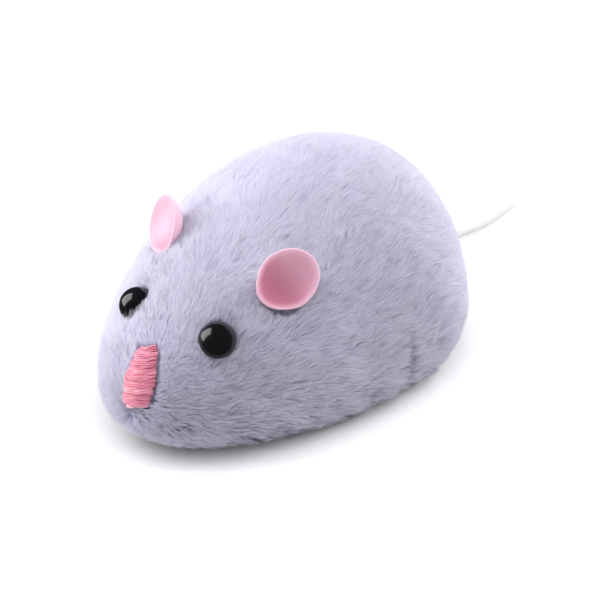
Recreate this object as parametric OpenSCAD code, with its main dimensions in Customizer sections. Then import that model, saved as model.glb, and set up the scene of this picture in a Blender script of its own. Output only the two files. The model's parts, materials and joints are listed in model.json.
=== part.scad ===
// Clockwork mouse: a short-plush body over a plastic shell, with a wind-up motor,
// two driven wheels amidships and a small roller under the tail.
// The nose points to -Y, the tail to +Y, the mouse's left side is +X and the floor is z = 0.

/* [Body] */
// Length of the body over the fur, nose to rump
body_len = 95; // [94:0.5:98]
// Width of the body over the fur
body_w = 70; // [69:0.5:73]
// Height of the crown of the back above the floor
body_h = 45.5; // [45:0.5:49]
// How far the nose lies ahead of the widest part of the body
nose_reach = 60.5; // [60:0.5:62]
// Height of the widest girth above the floor
girth_z = 9.5; // [9:0.1:10]
// How much the flanks draw in between the girth and the floor, as a share of the width
hem_tuck = 0.28; // [0.2:0.01:0.3]
// Thickness of the plush, backing and pile together
plush_t = 4.85; // [4.7:0.05:4.9]
// Wall of the plastic body shell
shell_t = 1.5; // [1.2:0.1:1.6]

/* [Face] */
// Diameter of an eye bead
eye_d = 7.8; // [7:0.1:8.4]
// Diameter of an ear across its cup
ear_d = 13.2; // [12:0.2:14]
// Thickness of the moulded ear in its middle
ear_t = 1.9; // [1.6:0.1:2.2]
// Thickness of the moulded ear at its rim
ear_rim_t = 0.6; // [0.5:0.1:1.2]
// Height of the stitched nose
nose_h = 10.6; // [10:0.1:13]
// Width of the stitched nose where it is widest
nose_w = 7.2; // [7:0.2:9]
// Width of the stitched nose at its foot
nose_foot_w = 5.8; // [4:0.2:7]
// Width of the stitched nose at its top
nose_top_w = 4.4; // [3:0.2:6]

/* [Running gear] */
// Diameter of a driven wheel over its tyre
wheel_d = 18; // [17.6:0.1:18]
// Width of a tyre
tyre_w = 4; // [3:0.25:4]
// Diameter of the drive axle
axle_d = 2; // [1.8:0.1:2]
// Diameter of the roller under the tail
roller_d = 7.6; // [7:0.1:7.6]
// Diameter of the tail at its root
tail_d = 2.8; // [2.4:0.1:3]
// Diameter of the tail at its tip
tail_tip_d = 1.2; // [0.8:0.1:1.4]

/* [Motor] */
// Diameter of the winding arbor
arbor_d = 3; // [2.8:0.1:3]
// Diameter of the winding knob
knob_d = 9; // [8:0.2:9]
// Turns of the mainspring at rest
spring_turns = 6; // [4:1:6]

/* [Hidden] */

// Rounding of curved surfaces
$fn = 48;
// Running clearance of a shaft in its bore, on the radius
run_gap = 0.05;
// Clearance between neighbouring fixed pieces
fit_gap = 0.15;
// Overlap of solids that are joined, so that no skin is left between them
weld = 0.5;

// The body dome: widest point, crown and the fullness of its outlines
girth_y = nose_reach - body_len / 2;
crown_shift = 0.5;
nose_round = 1.8;
rump_round = 1.9;
nose_full = 1.75;
flank_full = 1.93;
rump_full = 2.4;
dome_cols = 40;
low_rings = 5;
high_rings = 11;
skin_hem = 0.9;
shell_hem = 2.2;
shell_out = plush_t + 0.25;
shell_in = shell_out + shell_t;

// Chassis
chassis_z = 2.4;
chassis_t = 2.1;
chassis_top = chassis_z + chassis_t;
post_r = 2.6;
post_top = 12;
post_front_y = -20;
post_rear_y = 31;
pad_size = [14, 20, 0.8];
pad_y = 9;
rib_len = 10;
rib_h = 2;
rib_y = -28;
screw_r = 1;
screw_head_r = 2;
screw_head_t = 1.1;
screw_len = 6;
screw_bore_z = 10;

// Gear module, and the teeth of the large and small gears
gear_m = 0.5;
big_teeth = 36;
small_teeth = 12;

// Motor layout in the Y-Z plane
axle_at = [-3, wheel_d / 2];
arbor_at = [16, 14.5];
mesh_gap = 0.1;
gear_centres = gear_m * (big_teeth + small_teeth) / 2 + mesh_gap;
idler_at = third_corner(axle_at, arbor_at, gear_centres, gear_centres);
pressure_angle = 25;
tooth_backlash = 0.1;
case_x0 = -9.5;
case_x1 = 5;
case_wall = 1.1;
cover_t = 1.2;
case_y0 = -12;
case_y1 = 27;
case_top = 29.5;
case_chamfer = 6;
case_bottom = chassis_top + 0.1;
case_boss_r = 1.6;
case_screw_r = 0.8;
case_bosses = [[-9, 7.6], [24.2, 6.8], [22, 25.6]];
motor_feet = [[-7, -14], [2.5, -14], [-6.6, 29]];
foot_h = 4.5;
foot_r = 2;

// Stations of the gear train along X
great_x = [-1.6, 0.4];
idler_small_x = [-1.9, 1.2];
idler_big_x = [1.2, 3.4];
pinion_x = [0.9, 3.8];
ratchet_x = [-3.1, -2.1];
idler_hub_r = 2;
great_hub_r = 2.6;
hub_weld = 0.2;
end_play = 0.3;
spring_x = [-7.9, -3.6];
spring_strip = 0.3;
spring_r0 = arbor_d / 2 + run_gap;
spring_r1 = 8.8;
ratchet_teeth = 10;
ratchet_r = 3.4;
ratchet_root = 2.7;
ratchet_phase = 5;
click_post_r = 0.7;
click_at = [5.2, 5.2];

// Wheels
wheel_x = 11;
rim_r = wheel_d / 2 - 1.6;
hub_r = 2.2;
wheel_hole_at = 4;
wheel_hole_r = 1.1;
roller_at = [31.5, roller_d / 2];
roller_w = 4.4;
roller_pin_r = 0.8;
fork_t = 1.8;
fork_gap = 0.3;
fork_foot = 3.4;
fork_tip = 1.8;
fork_top = 6.6;
knob_x0 = -28;
knob_grip_x = -35.3;
knob_x1 = -38;
knob_neck_r = 2.6;
knob_gap = 0.6;
knob_bore_x = -20;

// Eyes: plan angle and height share on the dome, and depth of the bead's middle below it.
// Hand assembly leaves the right eye and ear a little nearer the middle.
eye_left_seat = [-64.6, 0.332, 1];
eye_right_seat = [-66.6, 0.34, 1.8];
eye_post_r = 1.5;
washer_r = 3.6;
washer_t = 1.2;
// Depths below the dome of the bead's flat seat, the washer and the post's end
eye_base_deep = 4.2;
washer_deep = 9.2;
eye_post_deep = 10.5;

// Ears: middle of the cup's rim, the way it opens, the way along it, and the place on the dome
// below it; the right one is given as if it were on the left
ear_left_seat = [
  [17.1, -16.7, 34.7], unit([0.658, -0.589, 0.469]), unit([0.364, 0.794, 0.487]), [-52.6, 0.456]
];
ear_right_seat = [
  [15.5, -17, 36], unit([0.496, -0.774, 0.394]), unit([0.734, 0.616, 0.286]), [-58.9, 0.509]
];
ear_cup_r = 7.8;
ear_steps = 12;
stem_turn = 40;
stem_sink = 0.4;
stem_r = 1.4;
stem_len = 8.6;
stem_barb_at = 7.2;
bore_depth = 12;

// Stitched nose; it leans a little, foot to the left and top to the right
nose_foot_z = 12.8;
nose_wide_share = 0.45;
nose_foot_x = 1.4;
nose_top_x = -0.3;
nose_sink = 0;
nose_t = 1.6;

// Centre line of the tail, root to tip
tail_route = [
  [0, 38.2, 7.6], [0, 41, 7.4], [0, 44.5, 6.7], [0, 48, 5.7], [0, 52, 4.5], [0.1, 56, 3.5],
  [0.25, 60, 2.7], [0.6, 64, 2.1], [1.15, 68.5, 1.6], [1.95, 72.5, 1.35], [2.35, 76, 1.2],
  [2.45, 79.5, 1.1], [2.35, 83, 1], [2.1, 87, 0.9]
];
tail_sides = 12;
tail_bulb_r = 2.2;
tail_exit_z = 7.2;
tail_bore_y = [36, 50];

// ---------- small helpers ----------

function unit(v) = v / norm(v);
function mix(a, b, k) = a + (b - a) * k;
function signed_pow(v, p) = v < 0 ? -pow(-v, p) : pow(v, p);

// Third corner of a triangle over the side from p to q, above it
function third_corner(p, q, from_p, from_q) =
  let (
    d = norm(q - p),
    along = (from_p * from_p - from_q * from_q + d * d) / (2 * d),
    rise = sqrt(from_p * from_p - along * along),
    dir = (q - p) / d
  )
  p + along * dir + rise * [-dir[1], dir[0]];

// Draws a flat outline given in Y and Z, from x0 to x1
module along_x(x0, x1) {
  translate([x0, 0, 0])
    rotate([90, 0, 90])
      linear_extrude(x1 - x0)
        children();
}

// Round bar along X through a point in Y and Z
module bar_x(at, r, x0, x1) {
  along_x(x0, x1)
    translate(at)
      circle(r);
}

// Round bar from a point along a direction
module bar_to(from, dir, r, length) {
  d = unit(dir);
  translate(from)
    rotate([0, acos(d[2]), atan2(d[1], d[0])])
      cylinder(h = length, r = r);
}

// Places children drawn with +Z along a direction, at a point
module aim(at, dir) {
  d = unit(dir);
  translate(at)
    rotate([0, acos(d[2]), atan2(d[1], d[0])])
      children();
}

// ---------- body dome ----------

function hem_factor(z) = 1 - hem_tuck * pow(max(girth_z - z, 0) / girth_z, 2);
function reach(a, inset) = (sin(a) < 0 ? nose_reach : body_len - nose_reach) - inset;
function plan_power(a) = sin(a) < 0 ? nose_round : rump_round;
function rise_power(a) = mix(flank_full, sin(a) < 0 ? nose_full : rump_full, pow(sin(a), 2));

// Point on the plan outline, for a plan angle, an inset and a scale about the girth centre
function plan_point(a, inset, k) =
  [
    (body_w / 2 - inset) * signed_pow(cos(a), 2 / plan_power(a)) * k,
    girth_y + reach(a, inset) * signed_pow(sin(a), 2 / plan_power(a)) * k
  ];

// Point on the dome above the girth; s is 0 at the girth and 1 at the crown
function dome_point(a, s, inset) =
  let (
    p = rise_power(a),
    k = pow(cos(90 * s), 2 / p),
    lift = pow(sin(90 * s), 2 / p),
    flat = plan_point(a, inset, k)
  )
  [flat[0], flat[1] + crown_shift * lift, girth_z + (body_h - inset - girth_z) * lift];

// Point on the wall between the hem and the girth
function wall_point(a, z, inset) =
  let (flat = plan_point(a, inset, hem_factor(z)))
  [flat[0], flat[1], z];

// Outward direction of the dome at a plan angle and height share
function dome_normal(a, s) =
  let (
    step = 0.01,
    here = dome_point(a, s, 0),
    round_it = dome_point(a + step, s, 0) - here,
    up_it = dome_point(a, s + step / 90, 0) - here
  )
  unit(cross(round_it, up_it));

// Half width inside the shell at a station y and a height z below the girth
function inner_half_width(y, z) =
  let (
    a = y < girth_y ? -1 : 1,
    p = a < 0 ? nose_round : rump_round,
    k = hem_factor(z),
    share = abs(y - girth_y) / (reach(90 * a, shell_in) * k)
  )
  (body_w / 2 - shell_in) * k * pow(1 - pow(share, p), 1 / p);

// Place across of a screw post, which stays inside the chassis's edge
function post_x(y) = inner_half_width(y, chassis_z) - screw_head_r - 1.7;

// Rings of one dome surface from the hem up, then the crown point
function dome_rings(inset, hem) =
  [
    for (i = [0:low_rings - 1], c = [0:dome_cols - 1])
      wall_point(360 * c / dome_cols, mix(hem, girth_z, i / low_rings), inset),
    for (i = [0:high_rings - 1], c = [0:dome_cols - 1])
      dome_point(360 * c / dome_cols, i / high_rings, inset),
    dome_point(90, 1, inset)
  ];

// Triangles of one dome surface; flip turns them inside out
function dome_faces(first, flip) =
  let (rings = low_rings + high_rings, crown = first + rings * dome_cols)
  [
    for (i = [0:rings - 2], c = [0:dome_cols - 1], half = [0, 1])
      let (
        p = first + i * dome_cols + c,
        q = first + i * dome_cols + (c + 1) % dome_cols,
        t = half == 0
          ? [p, p + dome_cols, q + dome_cols]
          : [p, q + dome_cols, q]
      )
      flip ? [t[2], t[1], t[0]] : t,
    for (c = [0:dome_cols - 1])
      let (
        p = crown - dome_cols + c,
        q = crown - dome_cols + (c + 1) % dome_cols
      )
      flip ? [q, crown, p] : [p, crown, q]
  ];

// Closed dome without a hollow, flat at the hem
module dome_solid(inset, hem) {
  rings = dome_rings(inset, hem);
  count = len(rings);
  polyhedron(
    points = concat(rings, [[0, girth_y, hem]]),
    faces = concat(
      dome_faces(0, false),
      [for (c = [0:dome_cols - 1]) [count, c, (c + 1) % dome_cols]]
    )
  );
}

// Dome wall between two insets, open underneath
module dome_wall(outer, inner, hem) {
  rings = dome_rings(outer, hem);
  count = len(rings);
  polyhedron(
    points = concat(rings, dome_rings(inner, hem)),
    faces = concat(
      dome_faces(0, false),
      dome_faces(count, true),
      [
        for (c = [0:dome_cols - 1], half = [0, 1])
          let (d = (c + 1) % dome_cols)
          half == 0 ? [c, d, count + d] : [c, count + d, count + c]
      ]
    )
  );
}

// Places children drawn for the left side on either side
module on_side(side) {
  mirror([side < 0 ? 1 : 0, 0, 0])
    children();
}

// ---------- face and tail places ----------

function eye_seat(side) = side > 0 ? eye_left_seat : eye_right_seat;
function eye_point(side) = dome_point(eye_seat(side)[0], eye_seat(side)[1], eye_seat(side)[2]);
function eye_out(side) = dome_normal(eye_seat(side)[0], eye_seat(side)[1]);
function below_eye(side, deep) = deep - eye_seat(side)[2];

function ear_seat(side) = side > 0 ? ear_left_seat : ear_right_seat;
function ear_open(side) = ear_seat(side)[1];
function ear_along(side) = ear_seat(side)[2];
function ear_out(side) = dome_normal(ear_seat(side)[3][0], ear_seat(side)[3][1]);

// Middle of an ear's spherical cup, and where its stem leaves the cup's wall
function ear_middle(side) =
  ear_seat(side)[0] + ear_open(side) * sqrt(ear_cup_r * ear_cup_r - ear_d * ear_d / 4);
function stem_from(side) =
  ear_middle(side)
  - (ear_cup_r - stem_sink) * (cos(stem_turn) * ear_open(side) + sin(stem_turn) * ear_along(side));

// Local frame of an ear's cup: +Y along the ear, +Z out of the cup
module ear_frame(side) {
  along = ear_along(side);
  open = ear_open(side);
  across = cross(along, open);
  at = ear_middle(side) - open * ear_cup_r;
  multmatrix([
    [across[0], along[0], open[0], at[0]],
    [across[1], along[1], open[1], at[1]],
    [across[2], along[2], open[2], at[2]]
  ])
    children();
}

// Room for an ear's cup, cut from the plush
module ear_room(side) {
  ear_frame(side)
    intersection() {
      translate([0, 0, ear_cup_r])
        sphere(ear_cup_r + fit_gap);
      translate([0, 0, -1])
        cylinder(h = 2 * ear_cup_r, r = ear_d / 2 + fit_gap);
    }
}

// Bores for the eyes and for the ears' stems
module face_bores(eye_r) {
  for (side = [-1, 1])
    on_side(side) {
      bar_to(eye_point(side) - eye_out(side) * bore_depth, eye_out(side), eye_r, 1.5 * bore_depth);
      bar_to(stem_from(side), -ear_out(side), stem_r + fit_gap, bore_depth);
    }
}

module knob_bore() {
  bar_x(arbor_at, knob_neck_r + knob_gap, knob_grip_x - 1, knob_bore_x);
}

module tail_bore(gap) {
  translate([0, tail_bore_y[1], tail_exit_z])
    rotate([90, 0, 0])
      cylinder(h = tail_bore_y[1] - tail_bore_y[0], r = tail_d / 2 + gap);
}

// Prism through the front of the face, in the shape of the stitched nose
module nose_prism(grow) {
  foot = nose_foot_w / 2 + grow;
  wide = nose_w / 2 + grow;
  top = nose_top_w / 2 + grow;
  wide_z = nose_foot_z + nose_wide_share * nose_h;
  wide_x = mix(nose_foot_x, nose_top_x, nose_wide_share);
  translate([0, -30, 0])
    rotate([90, 0, 0])
      linear_extrude(30)
        polygon([
          [nose_foot_x - foot, nose_foot_z - grow],
          [nose_foot_x + foot, nose_foot_z - grow],
          [wide_x + wide, wide_z],
          [nose_top_x + top, nose_foot_z + nose_h + grow],
          [nose_top_x - top, nose_foot_z + nose_h + grow],
          [wide_x - wide, wide_z]
        ]);
}

// ---------- covering, shell and chassis ----------

module plush_skin() {
  color("lavender")
    difference() {
      dome_wall(0, plush_t, skin_hem);
      face_bores(eye_d / 2 + fit_gap);
      for (side = [-1, 1])
        on_side(side)
          ear_room(side);
      difference() {
        nose_prism(fit_gap);
        dome_solid(nose_sink + nose_t + fit_gap, 0);
      }
      knob_bore();
      tail_bore(0.9);
    }
}

// Post for a chassis screw, tied to the shell's wall by a web
module screw_post(y, side) {
  z0 = chassis_top + fit_gap;
  web_end = inner_half_width(y, z0) + shell_t / 2;
  translate([side * post_x(y), y, z0])
    cylinder(h = post_top - z0, r = post_r);
  translate([side > 0 ? post_x(y) : -web_end, y - 0.6, z0])
    cube([web_end - post_x(y), 1.2, girth_z - z0]);
}

module body_shell() {
  color("whitesmoke")
    difference() {
      union() {
        dome_wall(shell_out, shell_in, shell_hem);
        for (y = [post_front_y, post_rear_y], side = [-1, 1])
          screw_post(y, side);
      }
      for (y = [post_front_y, post_rear_y], side = [-1, 1])
        translate([side * post_x(y), y, 0])
          cylinder(h = chassis_z + screw_len, r = screw_r);
      face_bores(eye_post_r + fit_gap);
      knob_bore();
      tail_bore(2 * fit_gap);
    }
}

module chassis() {
  color("gainsboro")
    difference() {
      union() {
        translate([0, 0, chassis_z])
          linear_extrude(chassis_t)
            polygon([
              for (c = [0:dome_cols - 1])
                plan_point(360 * c / dome_cols, shell_in + 2 * fit_gap, hem_factor(chassis_z))
            ]);
        translate([-pad_size[0] / 2, pad_y - pad_size[1] / 2, chassis_z - pad_size[2]])
          cube([pad_size[0], pad_size[1], pad_size[2] + weld]);
        for (side = [-1, 1])
          roller_fork(side);
        chassis_ribs();
      }
      for (side = [-1, 1])
        translate([side * (wheel_x + tyre_w / 2), axle_at[0], 0])
          cube([tyre_w + 2, wheel_d + 1, 20], center = true);
      translate([0, roller_at[0], 0])
        cube([roller_w + 2 * fork_gap, roller_d + 1, 30], center = true);
      for (y = [post_front_y, post_rear_y], side = [-1, 1])
        translate([side * post_x(y), y, 0])
          cylinder(h = screw_bore_z, r = screw_r + fit_gap);
      for (at = motor_feet)
        translate([at[0], at[1], 0])
          cylinder(h = screw_bore_z, r = screw_r + fit_gap);
      bar_x(roller_at, roller_pin_r, -roller_w, roller_w);
    }
}

// One side of the fork that carries the tail roller's pin
module roller_fork(side) {
  x0 = roller_w / 2 + fork_gap;
  mirror([side < 0 ? 1 : 0, 0, 0])
    along_x(x0, x0 + fork_t)
      polygon([
        [roller_at[0] - fork_foot, chassis_z],
        [roller_at[0] + fork_foot, chassis_z],
        [roller_at[0] + fork_tip, fork_top],
        [roller_at[0] - fork_tip, fork_top]
      ]);
}

// Stiffening ribs on top of the plate, ahead of the motor
module chassis_ribs() {
  for (x = [-6, 0, 6])
    translate([x - 0.5, rib_y, chassis_top - weld])
      cube([1, rib_len, rib_h + weld]);
}

module nose_embroidery() {
  color("lightpink")
    intersection() {
      nose_prism(0);
      difference() {
        dome_solid(nose_sink, 0);
        dome_solid(nose_sink + nose_t, -1);
      }
    }
}

// Glossy bead with a flat seat and a post that plugs through plush and shell
module eye(side) {
  color("black")
    on_side(side)
      aim(eye_point(side), eye_out(side)) {
        intersection() {
          sphere(eye_d / 2);
          translate([0, 0, -below_eye(side, eye_base_deep)])
            cylinder(h = 2 * eye_d, r = eye_d);
        }
        translate([0, 0, -below_eye(side, eye_post_deep)])
          cylinder(h = below_eye(side, eye_post_deep) - weld, r = eye_post_r);
      }
}

module eye_left() {
  eye(1);
}

module eye_right() {
  eye(-1);
}

// Push-on washer that locks an eye's post behind the shell
module eye_washer(side) {
  color("white")
    on_side(side)
      aim(eye_point(side) - eye_out(side) * below_eye(side, washer_deep), eye_out(side))
        difference() {
          cylinder(h = washer_t, r = washer_r);
          translate([0, 0, -1])
            cylinder(h = washer_t + 2, r = eye_post_r);
        }
}

module eye_washer_left() {
  eye_washer(1);
}

module eye_washer_right() {
  eye_washer(-1);
}

// Section through the ear's cup: angle of the rim, its inner corner and the radius of the
// shallow bowl, which runs from the corner to the thick middle
ear_edge = asin(ear_d / 2 / ear_cup_r);
ear_lip = [(ear_cup_r - ear_rim_t) * sin(ear_edge), ear_cup_r - (ear_cup_r - ear_rim_t) * cos(ear_edge)];
ear_bowl_deep = ear_lip[1] - ear_t;
ear_bowl_r = (ear_lip[0] * ear_lip[0] + ear_bowl_deep * ear_bowl_deep) / (2 * ear_bowl_deep);

// Point i of an arc of radius r and last angle edge that starts at height low on the axis
function cup_point(r, edge, low, i) =
  let (a = edge * i / ear_steps)
  [r * sin(a), low + r - r * cos(a)];

// Cupped ear with a stem that plugs through plush and shell
module ear(side) {
  color("pink")
    on_side(side) {
      ear_frame(side)
        rotate_extrude()
          polygon(concat(
            [for (i = [0:ear_steps]) cup_point(ear_cup_r, ear_edge, 0, i)],
            [for (i = [ear_steps:-1:0]) cup_point(ear_bowl_r, asin(ear_lip[0] / ear_bowl_r), ear_t, i)]
          ));
      bar_to(stem_from(side), -ear_out(side), stem_r, stem_len);
      bar_to(
        stem_from(side) - ear_out(side) * stem_barb_at, -ear_out(side),
        stem_r + 1, stem_len - stem_barb_at
      );
    }
}

module ear_left() {
  ear(1);
}

module ear_right() {
  ear(-1);
}

// Radius of the tail at a station of its route
function tail_r(i) = mix(tail_d, tail_tip_d, i / (len(tail_route) - 1)) / 2;

// Direction of the tail at a station of its route
function tail_dir(i) =
  unit(tail_route[min(i + 1, len(tail_route) - 1)] - tail_route[max(i - 1, 0)]);

module tail() {
  rings = len(tail_route);
  points = [
    for (i = [0:rings - 1], c = [0:tail_sides - 1])
      let (
        d = tail_dir(i),
        across = unit(cross(d, [0, 0, 1])),
        up = cross(across, d),
        a = 360 * c / tail_sides
      )
      tail_route[i] + tail_r(i) * (cos(a) * across + sin(a) * up)
  ];
  tip = len(points);
  color("whitesmoke") {
    polyhedron(
      points = concat(points, [tail_route[rings - 1] + tail_dir(rings - 1) * tail_tip_d / 2]),
      faces = concat(
        [
          for (i = [0:rings - 2], c = [0:tail_sides - 1], half = [0, 1])
            let (
              p = i * tail_sides + c,
              q = i * tail_sides + (c + 1) % tail_sides
            )
            half == 0
              ? [p, q, q + tail_sides]
              : [p, q + tail_sides, p + tail_sides]
        ],
        [for (c = [0:tail_sides - 1]) [tip - tail_sides + c, tip - tail_sides + (c + 1) % tail_sides, tip]],
        [[for (c = [tail_sides - 1:-1:0]) c]]
      )
    );
    translate(tail_route[0])
      sphere(tail_bulb_r);
  }
}

// ---------- motor ----------

function involute(a) = tan(a) * 180 / PI - a;

// Half the angle that a tooth fills at a radius
function tooth_half(teeth, r) =
  let (
    pitch_r = gear_m * teeth / 2,
    base_r = pitch_r * cos(pressure_angle),
    slack = tooth_backlash / 2 / pitch_r * 180 / PI
  )
  90 / teeth - slack + involute(pressure_angle) - involute(acos(base_r / max(r, base_r)));

// Outline of a spur gear with a tooth centred on the angle phase
module gear_outline(teeth, phase) {
  pitch_r = gear_m * teeth / 2;
  root_r = pitch_r - 1.25 * gear_m;
  tip_r = pitch_r + gear_m;
  flank = [for (i = [0:4]) mix(root_r, tip_r, i / 4)];
  polygon([
    for (t = [0:teeth - 1])
      for (i = [0:9])
        let (
          r = flank[i < 5 ? i : 9 - i],
          side = i < 5 ? -1 : 1,
          a = phase + 360 * t / teeth + side * tooth_half(teeth, r)
        )
        r * [cos(a), sin(a)]
  ]);
}

function heading(p, q) = atan2(q[1] - p[1], q[0] - p[0]);

module spur_gear(at, teeth, phase, x) {
  along_x(x[0], x[1])
    translate(at)
      gear_outline(teeth, phase);
}

// Side outline of the motor case, drawn in Y and Z; drop extends it downwards
module case_outline(inset, drop = 0) {
  y0 = case_y0 + inset;
  y1 = case_y1 - inset;
  z0 = case_bottom - drop;
  z1 = case_top - inset;
  c = case_chamfer - inset * 0.6;
  polygon([[y0, z0], [y1, z0], [y1, z1 - c], [y1 - c, z1], [y0 + c, z1], [y0, z1 - c]]);
}

module motor_case_right() {
  color("darkslategray")
    difference() {
      union() {
        along_x(case_x0, case_x0 + case_wall)
          case_outline(0);
        along_x(case_x0, case_x1)
          difference() {
            case_outline(0);
            case_outline(case_wall, 1);
          }
        for (at = case_bosses)
          bar_x(at, case_boss_r, case_x0 + weld, case_x1);
        for (at = motor_feet)
          motor_foot(at);
        spring_anchor();
      }
      for (at = case_bosses)
        bar_x(at, case_screw_r, case_x1 - 5, case_x1 + 1);
      for (at = motor_feet)
        translate([at[0], at[1], 0])
          cylinder(h = chassis_z + screw_len, r = screw_r);
      bar_x(arbor_at, arbor_d / 2 + run_gap, case_x0 - 1, case_x0 + 2);
      bar_x(axle_at, axle_d / 2 + run_gap, case_x0 - 1, case_x0 + 2);
      bar_x(idler_at, axle_d / 2, case_x0 - 1, case_x0 + 2);
    }
}

// Foot that takes a screw through the chassis
module motor_foot(at) {
  y = at[1] < 0 ? [at[1] - foot_r, case_y0 + weld] : [case_y1 - weld, at[1] + foot_r];
  translate([at[0] - foot_r, y[0], case_bottom])
    cube([2 * foot_r, y[1] - y[0], foot_h]);
}

// Post that holds the outer end of the mainspring
module spring_anchor() {
  bar_x(spring_end(), 0.7, case_x0 + weld, spring_x[1]);
}

// Where the mainspring's outer end loops round its post
function spring_end() = arbor_at + (spring_r1 + 1.05) * [cos(45), sin(45)];

module motor_case_left() {
  color("darkslategray")
    difference() {
      along_x(case_x1, case_x1 + cover_t)
        case_outline(0);
      for (at = case_bosses)
        bar_x(at, case_screw_r + 0.2, case_x1 - 1, case_x1 + 3);
      bar_x(arbor_at, arbor_d / 2 + run_gap, case_x1 - 1, case_x1 + 3);
      bar_x(axle_at, axle_d / 2 + run_gap, case_x1 - 1, case_x1 + 3);
      bar_x(idler_at, axle_d / 2, case_x1 - 1, case_x1 + 3);
    }
}

// Flat spiral strip from the arbor out to its post on the case
module mainspring() {
  steps = 30 * spring_turns;
  function spring_r(i) = mix(spring_r0, spring_r1, i / steps);
  function spring_dir(i) = let (a = 45 + 360 * i / 30) [cos(a), sin(a)];
  color("silver")
    along_x(spring_x[0], spring_x[1])
      translate(arbor_at)
        polygon(concat(
          [for (i = [0:steps]) spring_r(i) * spring_dir(i)],
          [for (i = [steps:-1:0]) (spring_r(i) + spring_strip) * spring_dir(i)]
        ));
}

module idler_pin() {
  color("silver")
    bar_x(idler_at, axle_d / 2, case_x0, case_x1 + cover_t);
}

module idler_gear() {
  to_arbor = heading(idler_at, arbor_at);
  to_axle = heading(idler_at, axle_at);
  color("ivory")
    difference() {
      union() {
        spur_gear(idler_at, small_teeth, to_arbor, idler_small_x);
        spur_gear(idler_at, big_teeth, to_axle, idler_big_x);
        bar_x(idler_at, idler_hub_r, case_x0 + case_wall + end_play, idler_small_x[0] + hub_weld);
        bar_x(idler_at, idler_hub_r, idler_big_x[1] - hub_weld, case_x1 - end_play);
      }
      bar_x(idler_at, axle_d / 2 + run_gap, case_x0, case_x1 + 1);
    }
}

module great_gear() {
  from_idler = heading(arbor_at, idler_at) + 180 / big_teeth;
  color("goldenrod")
    difference() {
      union() {
        spur_gear(arbor_at, big_teeth, from_idler, great_x);
        bar_x(arbor_at, great_hub_r, great_x[1] - hub_weld, case_x1 - end_play);
        bar_x(arbor_at + click_at, click_post_r, ratchet_x[0], great_x[0] + hub_weld);
      }
      bar_x(arbor_at, arbor_d / 2 + run_gap, great_x[0] - 1, case_x1 + 1);
    }
}

// Springy pawl: an eye on the great gear's post and an arm that rests on the ratchet wheel
module click_spring() {
  tip = arbor_at + click_tip();
  lean = unit(click_at - click_tip());
  wide = [-lean[1], lean[0]];
  color("gold")
    along_x(ratchet_x[0], ratchet_x[1])
      difference() {
        union() {
          translate(arbor_at + click_at)
            circle(click_post_r + 0.5);
          polygon([
            arbor_at + click_at - 0.6 * lean + 0.35 * wide,
            arbor_at + click_at - 0.6 * lean - 0.35 * wide,
            tip - 0.12 * wide,
            tip + 0.12 * wide
          ]);
        }
        translate(arbor_at + click_at)
          circle(click_post_r);
      }
}

// Tip of the click, just clear of a ratchet tooth
function click_tip() =
  let (a = ratchet_phase + 8)
  (ratchet_root + 0.3) * [cos(a), sin(a)];

module ratchet_wheel() {
  color("silver")
    along_x(ratchet_x[0], ratchet_x[1])
      translate(arbor_at)
        difference() {
          polygon([
            for (t = [0:ratchet_teeth - 1], corner = [0, 1])
              let (
                a = ratchet_phase + 360 * t / ratchet_teeth + (corner == 0 ? 0 : 4),
                r = corner == 0 ? ratchet_r : ratchet_root
              )
              r * [cos(a), sin(a)]
          ]);
          circle(arbor_d / 2);
        }
}

module arbor() {
  color("silver")
    bar_x(arbor_at, arbor_d / 2, knob_grip_x - 1, case_x1 + cover_t);
}

module winding_knob() {
  flutes = 10;
  color("white")
    difference() {
      union() {
        bar_x(arbor_at, knob_neck_r, knob_grip_x, knob_x0);
        bar_x(arbor_at, knob_d / 2, knob_x1, knob_grip_x);
      }
      bar_x(arbor_at, arbor_d / 2, knob_grip_x - 1, knob_x0 + 1);
      for (i = [0:flutes - 1])
        bar_x(
          arbor_at + (knob_d / 2 + 0.5) * [cos(360 * i / flutes), sin(360 * i / flutes)],
          1, knob_x1 - 1, knob_grip_x + 1
        );
    }
}

// ---------- running gear ----------

module drive_axle() {
  color("silver")
    bar_x(axle_at, axle_d / 2, -wheel_x - tyre_w, wheel_x + tyre_w);
}

module axle_pinion() {
  color("ivory")
    difference() {
      spur_gear(axle_at, small_teeth, heading(axle_at, idler_at) + 180 / small_teeth, pinion_x);
      bar_x(axle_at, axle_d / 2, pinion_x[0] - 1, pinion_x[1] + 1);
    }
}

// Wheel disc with a rim, five holes and a hub that reaches in to the motor case
module wheel(side, hub_x) {
  color("white")
    mirror([side < 0 ? 1 : 0, 0, 0])
      difference() {
        union() {
          bar_x(axle_at, rim_r, wheel_x + 0.3, wheel_x + tyre_w - 0.3);
          bar_x(axle_at, hub_r, hub_x, wheel_x + tyre_w);
        }
        along_x(wheel_x + tyre_w - 1.4, wheel_x + tyre_w + 1)
          translate(axle_at)
            difference() {
              circle(rim_r - 1.2);
              circle(hub_r);
            }
        for (i = [0:4])
          bar_x(
            axle_at + wheel_hole_at * [cos(72 * i), sin(72 * i)], wheel_hole_r,
            wheel_x - 1, wheel_x + tyre_w + 1
          );
        bar_x(axle_at, axle_d / 2, 0, wheel_x + tyre_w + 1);
      }
}

module wheel_left() {
  wheel(1, case_x1 + cover_t + 0.4);
}

module wheel_right() {
  wheel(-1, -case_x0 + 0.4);
}

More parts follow.
